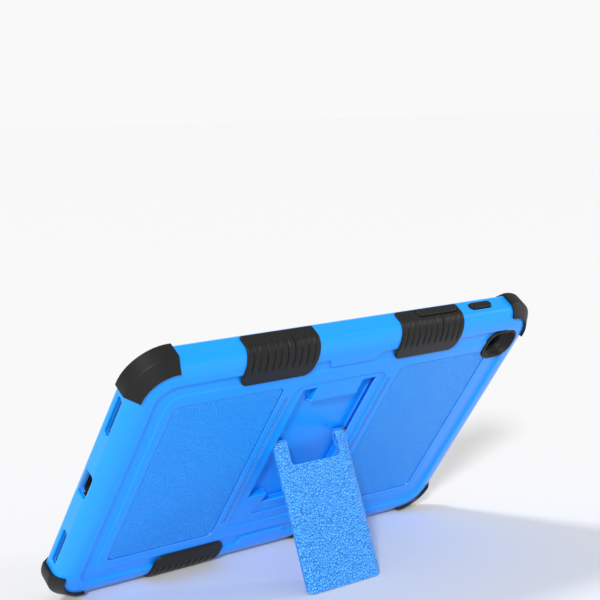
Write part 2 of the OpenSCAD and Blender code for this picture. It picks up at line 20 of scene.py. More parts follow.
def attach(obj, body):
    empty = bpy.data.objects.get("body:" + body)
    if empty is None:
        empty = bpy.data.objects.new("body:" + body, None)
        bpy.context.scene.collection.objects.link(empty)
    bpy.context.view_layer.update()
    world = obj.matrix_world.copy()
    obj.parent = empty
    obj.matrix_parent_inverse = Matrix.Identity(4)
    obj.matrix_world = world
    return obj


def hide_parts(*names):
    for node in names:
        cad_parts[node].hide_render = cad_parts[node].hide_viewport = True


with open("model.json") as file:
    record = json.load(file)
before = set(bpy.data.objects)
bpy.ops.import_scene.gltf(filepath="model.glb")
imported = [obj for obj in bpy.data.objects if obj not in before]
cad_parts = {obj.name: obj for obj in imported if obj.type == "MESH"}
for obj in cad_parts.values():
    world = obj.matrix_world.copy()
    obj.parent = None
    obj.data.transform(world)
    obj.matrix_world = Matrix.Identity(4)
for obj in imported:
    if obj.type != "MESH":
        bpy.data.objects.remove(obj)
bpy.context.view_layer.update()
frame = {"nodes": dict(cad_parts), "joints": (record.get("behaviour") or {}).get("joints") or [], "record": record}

log = logging.getLogger("tablet_case")

MM = 0.001
TINY_RADIUS = 0.02
SMOOTH_ANGLE = math.radians(38)
NORMAL_WEIGHT = 80
CREASE_WIDTH = 0.13
SLOT_DEPTH = 9.0
BUTTON_GAP = 0.3
SWELL_SCALE = 0.45
SWELL_SHARE = 0.35
Point = tuple[float, float]
Colour = tuple[float, float, float]
UP, DOWN = Vector((0, 0, 1)), Vector((0, 0, -1))


class End(Enum):
    """The two short ends of the case."""

    CAMERA = 1
    PORT = -1


class Side(Enum):
    """The two long sides of the case."""

    TOP = 1
    BOTTOM = -1


def eased(share: float) -> float:
    """Holds a share between 0 and 1 and eases it in and out."""
    t = min(max(share, 0.0), 1.0)
    return t * t * (3 - 2 * t)


def rounded_off(radius: float, gap: float) -> float:
    """How far a round edge has fallen back at a distance from where it ends."""
    reach = max(radius - gap, 0.0)
    return radius - math.sqrt(max(radius ** 2 - reach ** 2, 0.0))


def quarter_turn(steps: int) -> list[float]:
    """Returns angles from 0 to a right angle in equal steps."""
    return [math.pi / 2 * k / steps for k in range(steps + 1)]


def of_kind(geom: Iterable[object], kind: type) -> list:
    """Returns the elements of one kind out of an operator's result."""
    return [g for g in geom if isinstance(g, kind)]


# ---------------------------------------------------------------- finishes


@dataclass(frozen=True)
class NodeTools:
    """Short calls for wiring one node tree."""

    tree: bpy.types.NodeTree

    def add(self, kind: str, inputs: dict | None = None, **settings: object) -> bpy.types.Node:
        """Adds a node.

        Args:
            kind: The node's Blender type name.
            inputs: A constant or a source socket for each input, by name or index.
            settings: Properties to set on it.

        Returns:
            The new node.
        """
        node = self.tree.nodes.new(kind)
        for name, value in settings.items():
            setattr(node, name, value)
        self.feed(node, inputs or {})
        return node

    def feed(self, node: bpy.types.Node, inputs: dict) -> None:
        """Sets a node's inputs to constants or links them to source sockets.

        Args:
            node: The node.
            inputs: A constant or a source socket for each input, by name or index.
        """
        for name, value in inputs.items():
            if isinstance(value, bpy.types.NodeSocket):
                self.tree.links.new(value, node.inputs[name])
            else:
                node.inputs[name].default_value = value

    def maths(self, operation: str, first: object, second: object) -> bpy.types.NodeSocket:
        """Adds a Math node on two numbers or sockets and returns its output."""
        return self.add("ShaderNodeMath", {0: first, 1: second}, operation=operation).outputs[0]


def new_group(name: str, inputs: dict[str, float], outputs: Sequence[str]) -> bpy.types.NodeTree:
    """Makes an empty shader node group with float sockets.

    Args:
        name: The group's name.
        inputs: Each input's name and default.
        outputs: The outputs' names.

    Returns:
        The group, with its input and output nodes named "in" and "out".
    """
    group = bpy.data.node_groups.new(name, "ShaderNodeTree")
    for label, value in inputs.items():
        socket = group.interface.new_socket(name=label, in_out="INPUT", socket_type="NodeSocketFloat")
        socket.default_value = value
    for label in outputs:
        group.interface.new_socket(name=label, in_out="OUTPUT", socket_type="NodeSocketFloat")
    group.nodes.new("NodeGroupInput").name = "in"
    group.nodes.new("NodeGroupOutput").name = "out"
    return group


def leather_group() -> bpy.types.NodeTree:
    """Builds the moulded leather grain: rounded pebbles parted by thin creases.

    Returns:
        A group with the inputs Pebble and Warp, in pebbles per metre and in share of a pebble, and
        the outputs Height and Crease.
    """
    group = new_group("leather_grain", {"Pebble": 700.0, "Warp": 0.35}, ["Height", "Crease"])
    n = NodeTools(group)
    pebble, warp = group.nodes["in"].outputs[:2]
    place = n.add("ShaderNodeTexCoord").outputs["Object"]
    drift = n.add("ShaderNodeTexNoise", {"Vector": place, "Scale": n.maths("MULTIPLY", pebble, 0.9),
                                         "Detail": 2.0}, noise_dimensions="3D").outputs["Color"]
    scaled, push = (n.add("ShaderNodeVectorMath", {0: vector, "Scale": scale}, operation="SCALE").outputs[0]
                    for vector, scale in ((place, pebble), (drift, warp)))
    moved = n.add("ShaderNodeVectorMath", {0: scaled, 1: push}, operation="ADD").outputs[0]
    edge = n.add("ShaderNodeTexVoronoi", {"Vector": moved, "Scale": 1.0}, feature="DISTANCE_TO_EDGE")
    crease = n.add("ShaderNodeMapRange", {"Value": edge.outputs["Distance"], "From Max": CREASE_WIDTH},
                   interpolation_type="SMOOTHSTEP").outputs["Result"]
    cell = n.add("ShaderNodeTexVoronoi", {"Vector": moved, "Scale": SWELL_SCALE, "Smoothness": 0.6},
                 feature="SMOOTH_F1")
    swell = n.maths("MULTIPLY", cell.outputs["Distance"], -SWELL_SHARE)
    n.feed(group.nodes["out"], {"Height": n.maths("ADD", crease, swell),
                                "Crease": n.maths("SUBTRACT", 1.0, crease)})
    return group


def micro_group() -> bpy.types.NodeTree:
    """Builds the fine texture of a spark-eroded mould, with a slow drift in gloss.

    Returns:
        A group with the inputs Grain and Drift, in features per metre, and the outputs Height and
        Patch.
    """
    group = new_group("mould_texture", {"Grain": 4000.0, "Drift": 18.0}, ["Height", "Patch"])
    n = NodeTools(group)
    place = n.add("ShaderNodeTexCoord").outputs["Object"]
    for label, output, detail in (("Grain", "Height", 3.0), ("Drift", "Patch", 2.0)):
        noise = n.add("ShaderNodeTexNoise", {"Vector": place, "Scale": group.nodes["in"].outputs[label],
                                             "Detail": detail}, noise_dimensions="3D")
        n.feed(group.nodes["out"], {output: noise.outputs[0]})
    return group


def painted_shading_group() -> bpy.types.NodeTree:
    """Builds the masks that paint shade into narrow grooves and a highlight along sharp convex edges.

    Returns:
        A group with the inputs Groove Reach and Edge Reach, in metres, and the outputs Groove and
        Edge, from 0 on open faces to 1.
    """
    group = new_group("painted_shade_and_highlight", {"Groove Reach": 0.003, "Edge Reach": 0.00045}, ["Groove", "Edge"])
    n = NodeTools(group)
    # Groove: ambient occlusion finds hollows, where the material paints shade; Edge: inside occlusion finds convex
    # edges, where it paints a highlight.
    for label, output, inside, low, high in (("Groove Reach", "Groove", False, 0.95, 0.45),
                                             ("Edge Reach", "Edge", True, 0.93, 0.6)):
        near = n.add("ShaderNodeAmbientOcclusion", {"Distance": group.nodes["in"].outputs[label]},
                     samples=8, only_local=True, inside=inside)
        mask = n.add("ShaderNodeMapRange", {"Value": near.outputs["AO"], "From Min": low, "From Max": high})
        n.feed(group.nodes["out"], {output: mask.outputs["Result"]})
    return group


@dataclass(frozen=True)
class Finish:
    """One material: a plain body colour with its own surface texture, and where set, painted shade in creases and
    grooves and a painted highlight on edges.
    """

    name: str
    colour: Colour
    shade: Colour
    roughness: float
    roughness_spread: float = 0.08
    bump: float = 0.1
    bump_height: float = 0.02
    grain: float = 4000.0
    pebble: float = 0.0
    pebble_warp: float = 0.35
    metallic: float = 0.0
    specular: float = 0.5
    # The next two colours and their shares paint shade into narrow grooves and a highlight along sharp edges.
    groove_shade_colour: Colour = (0.001, 0.10, 0.58)
    edge_highlight_colour: Colour = (0.22, 0.55, 1.0)
    groove: float = 0.0
    edge: float = 0.0

    def material(self, groups: dict[str, bpy.types.NodeTree]) -> bpy.types.Material:
        """Builds the Blender material.

        Args:
            groups: The shared node groups, by name.

        Returns:
            The material.
        """
        material = bpy.data.materials.new(self.name)
        material.use_nodes = True
        n = NodeTools(material.node_tree)
        shader = material.node_tree.nodes["Principled BSDF"]
        n.feed(shader, {"Metallic": self.metallic, "Specular IOR Level": self.specular})
        texture = n.add("ShaderNodeGroup", {"Grain": self.grain}, node_tree=groups["mould_texture"])
        patch = mask = texture.outputs["Patch"]
        height = n.maths("MULTIPLY", texture.outputs["Height"], 0.25 if self.pebble else 1.0)
        if self.pebble:
            leather = n.add("ShaderNodeGroup", {"Pebble": self.pebble, "Warp": self.pebble_warp},
                            node_tree=groups["leather_grain"])
            height = n.maths("ADD", height, leather.outputs["Height"])
            mask = leather.outputs["Crease"]
        # The darker colour paints shade into the leather's creases; without leather it is a random drift in tone.
        mixes = [(mask, self.shade)]
        # Paints shade into grooves and a highlight along edges, from the relief masks.
        if self.groove or self.edge:
            relief_shading = n.add("ShaderNodeGroup", node_tree=groups["painted_shade_and_highlight"])
            mixes += [(n.maths("MULTIPLY", relief_shading.outputs[output], share), tint)
                      for output, share, tint in (("Groove", self.groove, self.groove_shade_colour),
                                                  ("Edge", self.edge, self.edge_highlight_colour))]
        colour: object = (*self.colour, 1.0)
        for share, tint in mixes:
            mix = n.add("ShaderNodeMix", {0: share, 6: colour, 7: (*tint, 1.0)}, data_type="RGBA")
            colour = mix.outputs[2]
        low, high = self.roughness - self.roughness_spread, self.roughness + self.roughness_spread
        gloss = n.add("ShaderNodeMapRange", {"Value": patch, "To Min": low, "To Max": high})
        dents = n.add("ShaderNodeBump", {"Height": height, "Strength": self.bump,
                                         "Distance": self.bump_height * MM})
        n.feed(shader, {"Base Color": colour, "Roughness": gloss.outputs["Result"],
                        "Normal": dents.outputs["Normal"]})
        return material


# Finishes that set groove and edge get painted shade in their grooves and a painted highlight on their edges.
SHELL_BLUE = Finish("shell_blue", (0.002, 0.31, 1.0), (0.001, 0.295, 0.97), 0.28, 0.03, 0.10, 0.02,
                    specular=0.42, groove=0.9, edge=0.6)
PANEL_BLUE = Finish("panel_blue", (0.004, 0.34, 1.0), (0.001, 0.235, 0.92), 0.36, 0.04, 1.0, 0.20,
                    pebble=820.0, pebble_warp=0.6, specular=0.42, groove=0.9, edge=0.5)
# The leg's blue is lighter than the panels' as painted light, for the light that falls on the leg.
LEG_BLUE_LIT = Finish("leg_blue", (0.060, 0.41, 1.0), (0.003, 0.19, 0.84), 0.34, 0.04, 1.0, 0.36,
                  pebble=860.0, pebble_warp=0.8, edge=0.6)
PAD_RUBBER = Finish("pad_rubber", (0.013, 0.0126, 0.0122), (0.010, 0.0098, 0.0095), 0.46, 0.05, 0.25,
                    0.04, specular=0.22, groove_shade_colour=(0.004, 0.004, 0.004),
                    edge_highlight_colour=(0.04, 0.04, 0.04), groove=0.8, edge=0.4)
LINER_RUBBER = Finish("liner_rubber", (0.014, 0.014, 0.014), (0.011, 0.011, 0.011), 0.62, 0.05, 0.3, 0.05)
PIN_STEEL = Finish("pin_steel", (0.30, 0.31, 0.32), (0.25, 0.26, 0.27), 0.34, 0.05, 0.1, 0.01, metallic=1.0)


class Palette:
    """Builds each finish once and hands it out by name."""

    def __init__(self) -> None:
        """Builds the shared node groups."""
        self.groups = {"leather_grain": leather_group(), "mould_texture": micro_group(),
                       "painted_shade_and_highlight": painted_shading_group()}
        self.made: dict[str, bpy.types.Material] = {}

    def get(self, finish: Finish) -> bpy.types.Material:
        """Hands out the material of a finish.

        Args:
            finish: The finish.

        Returns:
            Its material, built the first time.
        """
        if finish.name not in self.made:
            self.made[finish.name] = finish.material(self.groups)
        return self.made[finish.name]


# ---------------------------------------------------------------- outlines and meshes


@dataclass(frozen=True)
class Outline:
    """A closed outline of straight edges and round corners, anticlockwise.

    Each corner is (x, y, radius), and edge i runs from corner i to corner i + 1. Rings moved in
    further than tighten_to lose only a share of the rest from their corner radius.
    """

    corners: tuple[tuple[float, float, float], ...]
    steps: int = 6
    tighten_to: float = math.inf
    slow: float = 0.32

    @staticmethod
    def rectangle(length: float, width: float, radius: float, middle: Point = (0, 0),
                  steps: int = 6) -> "Outline":
        """A rectangle with round corners.

        Args:
            length: Size along x.
            width: Size along y.
            radius: Radius of the corners.
            middle: Its centre.
            steps: Straight steps in each round corner.

        Returns:
            The outline.
        """
        x, y = length / 2, width / 2
        a, b = middle
        return Outline(((a + x, b - y, radius), (a + x, b + y, radius),
                        (a - x, b + y, radius), (a - x, b - y, radius)), steps)

    def ring(self, inset: float | Sequence[float]) -> list[Point]:
        """Points of the outline moved inwards, always the same number of them.

        Args:
            inset: How far each edge moves in, as one number or one for each edge.

        Returns:
            The points, anticlockwise.
        """
        count = len(self.corners)
        moves = list(inset) if isinstance(inset, (list, tuple)) else [inset] * count
        found: list[Point] = []
        for i, (x, y, radius) in enumerate(self.corners):
            before, after = self.corners[i - 1], self.corners[(i + 1) % count]
            d0 = Vector((x - before[0], y - before[1])).normalized()
            d1 = Vector((after[0] - x, after[1] - y)).normalized()
            n0, n1 = Vector((-d0.y, d0.x)), Vector((-d1.y, d1.x))
            m0, m1 = moves[i - 1], moves[i]
            cross = n0.x * n1.y - n0.y * n1.x
            shift = Vector((m0 * n1.y - m1 * n0.y, m1 * n0.x - m0 * n1.x)) / cross
            corner = Vector((x, y)) + shift
            turn = math.atan2(d0.x * d1.y - d0.y * d1.x, d0.dot(d1))
            sign = 1.0 if turn > 0 else -1.0
            tightened = min(m0, m1)
            if tightened > self.tighten_to:
                tightened = self.tighten_to + self.slow * (tightened - self.tighten_to)
            r = max(radius - sign * tightened, TINY_RADIUS)
            start = corner - d0 * (r * math.tan(abs(turn) / 2))
            centre = start + n0 * sign * r
            arm = start - centre
            for k in range(self.steps + 1):
                a = turn * k / self.steps
                found.append((centre.x + arm.x * math.cos(a) - arm.y * math.sin(a),
                              centre.y + arm.x * math.sin(a) + arm.y * math.cos(a)))
        return found


class Skin:
    """A mesh in the making, grown ring by ring."""

    def __init__(self) -> None:
        """Starts an empty mesh."""
        self.bm = bmesh.new()
        self.ring: list[BMVert] = []

    @staticmethod
    def _places(points: Iterable[Point | Vector], height: float) -> list[Vector]:
        """Returns points as vectors, putting the flat ones at a height."""
        return [Vector(p) if len(p) == 3 else Vector((*p, height)) for p in points]

    def start(self, points: Iterable[Point | Vector], height: float = 0.0) -> list[BMVert]:
        """Starts a new ring of vertices joined by edges.

        Args:
            points: The ring's points, flat or as vectors.
            height: The height of flat points.

        Returns:
            The ring's vertices.
        """
        places = self._places(points, height)
        circle = bmesh.ops.create_circle(self.bm, segments=len(places), radius=1.0)["verts"]
        self.ring = self._in_order(circle)
        for vert, place in zip(self.ring, places):
            vert.co = place
        return self.ring

    @staticmethod
    def _in_order(verts: list[BMVert]) -> list[BMVert]:
        """Sorts a fresh circle's vertices by their angle."""
        return sorted(verts, key=lambda v: math.atan2(v.co.y, v.co.x) % (2 * math.pi))

    def edges(self, ring: list[BMVert] | None = None) -> list[BMEdge]:
        """Returns the edges that join a ring's vertices in order."""
        ring = ring or self.ring
        return [self.bm.edges.get((a, b)) for a, b in zip(ring, ring[1:] + ring[:1])]

    def grow(self, points: Iterable[Point | Vector], height: float = 0.0) -> None:
        """Extrudes the current ring to new places.

        Args:
            points: The new ring's points, as many as the current ring has.
            height: The height of flat points.
        """
        order = {vert: i for i, vert in enumerate(self.ring)}
        made = bmesh.ops.extrude_edge_only(self.bm, edges=self.edges())["geom"]
        fresh: list[BMVert | None] = [None] * len(self.ring)
        for vert in of_kind(made, BMVert):
            old = next(e.other_vert(vert) for e in vert.link_edges if e.other_vert(vert) in order)
            fresh[order[old]] = vert
        for vert, place in zip(fresh, self._places(points, height)):
            vert.co = place
        self.ring = fresh

    def follow(self, outline: Outline, profile: Sequence[Point]) -> None:
        """Grows the current ring along a profile, as pairs of inset and height, of an outline."""
        for inset, height in profile:
            self.grow(outline.ring(inset), height)

    def cap(self, material: int = 0) -> None:
        """Closes the current ring with one face of a material index."""
        bmesh.ops.contextual_create(self.bm, geom=self.edges())["faces"][0].material_index = material

    def fill(self, rings: Sequence[list[BMVert]], normal: Vector) -> None:
        """Fills the flat space inside the first ring and outside the others, looking along a normal."""
        edges = [e for ring in rings for e in self.edges(ring)]
        bmesh.ops.triangle_fill(self.bm, edges=edges, use_beauty=True, normal=normal)

    def tunnels(self, holes: Sequence[Outline], level: float,
                profile: Sequence[Point]) -> tuple[list[list[BMVert]], list[list[BMVert]]]:
        """Builds the walls of holes that go right through.

        Args:
            holes: The holes' outlines.
            level: The height at which they start.
            profile: Pairs of inset and height along their walls.

        Returns:
            The rings at which the holes start and those at which they end.
        """
        starts, ends = [], []
        for hole in holes:
            starts.append(self.start(hole.ring(0.0), level))
            self.follow(hole, profile)
            ends.append(self.ring)
        return starts, ends

    def solid(self, outline: Outline, profile: Sequence[Point], place: Matrix | None = None) -> None:
        """Makes one closed solid, capped at both ends.

        Args:
            outline: Its outline.
            profile: Pairs of inset and height from one end to the other.
            place: Matrix that moves the finished solid.
        """
        before = set(self.bm.verts)
        self.start(outline.ring(profile[0][0]), profile[0][1])
        self.cap()
        self.follow(outline, profile[1:])
        self.cap()
        if place is not None:
            self.move(place, [v for v in self.bm.verts if v not in before])

    def move(self, place: Matrix, verts: Sequence[BMVert] | None = None) -> None:
        """Transforms some vertices, or all of them."""
        bmesh.ops.transform(self.bm, matrix=place, verts=verts or self.bm.verts[:])

    def outward(self) -> None:
        """Turns every face to look out of its solid."""
        bmesh.ops.recalc_face_normals(self.bm, faces=self.bm.faces[:])

    def object(self, name: str) -> bpy.types.Object:
        """Turns the mesh into an object in the scene.

        Args:
            name: The object's name.

        Returns:
            The object, still lying flat and in millimetres.
        """
        self.outward()
        mesh = bpy.data.meshes.new(name)
        self.bm.to_mesh(mesh)
        self.bm.free()
        piece = bpy.data.objects.new(name, mesh)
        bpy.context.scene.collection.objects.link(piece)
        return piece


def carve(piece: bpy.types.Object, cutter: bpy.types.Object, own_crossings: bool = False) -> None:
    """Takes one solid out of another and deletes the cutter.

    Args:
        piece: The object to cut.
        cutter: The closed solid to take away.
        own_crossings: Whether the piece's inner wall may cross itself.
    """
    cut = piece.modifiers.new("cut", "BOOLEAN")
    cut.operation, cut.solver, cut.object, cut.use_self = "DIFFERENCE", "EXACT", cutter, own_crossings
    bpy.context.view_layer.update()
    depsgraph = bpy.context.evaluated_depsgraph_get()
    mesh = bpy.data.meshes.new_from_object(piece.evaluated_get(depsgraph))
    piece.modifiers.clear()
    old, piece.data = piece.data, mesh
    bpy.data.meshes.remove(old)
    bpy.data.objects.remove(cutter)


@dataclass
class Stance:
    """Where the CAD frame stands the flat case."""

    bay: dict
    back_build: float

    def matrix(self) -> Matrix:
        """Finds how the flat case is stood up.

        Returns:
            The matrix from flat millimetres to metres.
        """
        front = Vector(self.bay["axis"]).normalized()
        right = Vector((1, 0, 0))
        origin = Vector(self.bay["pos_m"]) - front * self.back_build * MM
        turn = Matrix((right, right.cross(front), -front)).transposed().to_4x4()
        return Matrix.Translation(origin) @ turn @ Matrix.Scale(MM, 4)


@dataclass
class Workshop:
    """Stands finished meshes up, dresses them and sets them on their bodies."""

    stance: Stance
    palette: Palette = field(default_factory=Palette)

    def finish(self, piece: bpy.types.Object, finishes: Sequence[Finish], body: str, slot: str,
               nodes: Sequence[str]) -> None:
        """Turns a flat mesh into a finished piece of the case.

        Args:
            piece: The object with its flat mesh.
            finishes: The finishes, in order of material index.
            body: The CAD body that it rides on.
            slot: The record's material slot; not used.
            nodes: The CAD nodes that it stands for.
        """
        mesh = piece.data
        mesh.transform(self.stance.matrix())
        if not mesh.materials:
            self.paint(piece, finishes)
        mesh.polygons.foreach_set("use_smooth", [True] * len(mesh.polygons))
        mesh.set_sharp_from_angle(angle=SMOOTH_ANGLE)
        weigh = piece.modifiers.new("weighted_normals", "WEIGHTED_NORMAL")
        weigh.keep_sharp = True
        weigh.weight = NORMAL_WEIGHT
        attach(piece, body)
        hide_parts(*nodes)
        log.info("%s: %d faces, rides on %s", piece.name, len(mesh.polygons), body)

    def paint(self, piece: bpy.types.Object, finishes: Sequence[Finish]) -> None:
        """Gives a mesh its finishes, in order of material index."""
        for finish in finishes:
            piece.data.materials.append(self.palette.get(finish))

    def dress(self, node: str, finish: Finish) -> None:
        """Gives a CAD node that stays its finish.

        Args:
            node: The node.
            finish: Its finish.
        """
        mesh = frame["nodes"][node].data
        mesh.materials.clear()
        mesh.materials.append(self.palette.get(finish))
        log.info("%s: CAD node with %s", node, finish.name)


# ---------------------------------------------------------------- the case


@dataclass(frozen=True)
class CaseSizes:
    """Sizes that more than one piece shares."""

    length: float = 214.0
    width: float = 138.0
    depth: float = 13.8
    corner: float = 16.0
    seam: float = 11.3
    shell_wall: float = 2.0
    frame_back: float = 12.2
    back_build: float = 4.9
    rounding: float = 6.0
    crest: float = 9.5
    border: float = -0.4
    dish_x: float = 25.2
    dish_y: float = 44.8
    dish: float = -0.8
    recess_x: float = 20.3
    tongue_x: float = 12.5
    tongue_end: float = 33.3
    recess_top: float = 41.6
    foot: float = -25.2
    recess_bottom: float = -38.7
    recess: float = -4.1
    tray_wall: float = 2.2
    bevel_break: float = 3.3
    bevel_inset: float = 7.6
    bevel_level: float = -13.1
    port_z: float = -7.95
    camera_x: float = 90.0
    camera_y: float = 49.7
    bay_x: float = 202.4
    bay_y: float = 125.7

    @property
    def half_x(self) -> float:
        """Half the case's length."""
        return self.length / 2

    @property
    def half_y(self) -> float:
        """Half the case's width."""
        return self.width / 2

    def outline(self, steps: int = 14) -> Outline:
        """Returns the case's outline seen from the back."""
        return Outline(Outline.rectangle(self.length, self.width, self.corner).corners, steps, 6.0)

    def rounding_point(self, degrees: float) -> Point:
        """Returns inset and height on the rounded edge, from the side at 0 to the crest at 90."""
        a = math.radians(degrees)
        return self.crest * (1 - math.cos(a)), -self.rounding * (1 - math.sin(a))

    def recess_outline(self, gap: float = 0.0) -> Outline:
        """Returns the outline of the pocket that the leg folds into.

        Args:
            gap: How far the outline stands back from the leg's pocket; not used.

        Returns:
            The outline, with the tongue at its upper end and the finger gap at its lower end.
        """
        x, top, foot = self.recess_x, self.recess_top, self.foot - 0.3
        tab, tip, low = self.tongue_x, self.tongue_end, self.foot - 6.6
        return Outline(((x, foot, 0.6), (x, top, 0.6), (tab, top, 0.5), (tab, tip, 1.0),
                        (-tab, tip, 1.0), (-tab, top, 0.5), (-x, top, 0.6), (-x, foot, 0.6),
                        (-9.4, foot, 1.0), (-11.23, low, 1.5), (11.23, low, 1.5), (9.4, foot, 1.0)), 4)


    def tray_outline(self, gap: float = 0.0, corner: float = 0.8) -> Outline:
        """Draws the raised back of the leg's pocket, inside the case.

        Args:
            gap: How much larger it is than the pocket's walls.
            corner: Radius of its corners.

        Returns:
            The outline.
        """
        return Outline.rectangle(2 * (self.recess_x + self.tray_wall) + gap,
                                 self.recess_top - self.recess_bottom + 2 * self.tray_wall + gap, corner,
                                 (0.0, (self.recess_top + self.recess_bottom) / 2), 3)

    def around_camera(self, length: float, width: float, radius: float) -> Outline:
        """Returns a rectangle with round corners about the camera."""
        return Outline.rectangle(length, width, radius, (self.camera_x, self.camera_y), 8)

    def top_side(self, x: float) -> Matrix:
        """Places a solid in the upper long side, its long size along the side."""
        return Matrix(((1, 0, 0, x), (0, 0, 1, self.half_y), (0, -1, 0, self.port_z), (0, 0, 0, 1)))


SIZES = CaseSizes()


def into_end(end: End, x: float, y: float, z: float) -> Matrix:
    """Places a solid that runs in from a short end at x, y and z, its long size along y."""
    e = end.value
    return Matrix(((0, 0, e, e * x), (1, 0, 0, y), (0, e, 0, z), (0, 0, 0, 1)))


@dataclass(frozen=True)
class Port:
    """An opening through a short end."""

    end: End
    y: float
    length: float
    width: float
    radius: float
    flare: float
    spread: float = 1.0


CHARGING = Port(End.PORT, 0.0, 13.0, 6.1, 1.2, 0.8, 0.8)
SPEAKERS = tuple(Port(End.PORT, 38.5 * side.value, 20.0, 3.0, 1.5, 0.9, 0.8) for side in Side)
HEADPHONE = Port(End.CAMERA, 13.0, 6.1, 6.1, 3.04, 0.7)


class SlotCutters:
    """Solids for the openings through the sides, with a flared mouth that leaves a soft edge."""

    def __init__(self, sizes: CaseSizes) -> None:
        """Starts with no cutter."""
        self.sizes = sizes
        self.skin = Skin()

    def slot(self, length: float, width: float, radius: float, place: Matrix, flare: float,
             spread: float = 1.0) -> None:
        """Adds one slot that runs in from the side.

        Args:
            length: Its long size.
            width: Its short size.
            radius: Its corner radius.
            place: Matrix from the slot's own frame, in which it runs down -z from the side at 0.
            flare: Width and depth of its soft mouth.
            spread: How much wider than deep the mouth is.
        """
        mouth = [(-flare * spread * (1 - math.cos(a)), -flare + flare * math.sin(a))
                 for a in quarter_turn(4)]
        self.skin.solid(Outline.rectangle(length, width, radius),
                        [(0.0, -SLOT_DEPTH), *mouth, (-flare * spread - 0.3, 2.0)], place)

    def button_slots(self, flare: float) -> None:
        """Adds the slots of both buttons.

        Args:
            flare: Width and depth of their soft mouths.
        """
        for button in BUTTONS:
            self.slot(button.length + 2 * BUTTON_GAP, button.width + 2 * BUTTON_GAP,
                      button.width / 2 + BUTTON_GAP - 0.01, self.sizes.top_side(button.x), flare)

    def all_ports(self) -> bpy.types.Object:
        """Adds the openings of both ends and both button slots.

        Returns:
            The cutters as one object.
        """
        for port in (CHARGING, *SPEAKERS, HEADPHONE):
            place = into_end(port.end, self.sizes.half_x, port.y, self.sizes.port_z)
            self.slot(port.length, port.width, port.radius, place, port.flare, port.spread)
        self.button_slots(0.3)
        return self.object()

    def object(self) -> bpy.types.Object:
        """Returns the cutters as one object."""
        return self.skin.object("cutters")


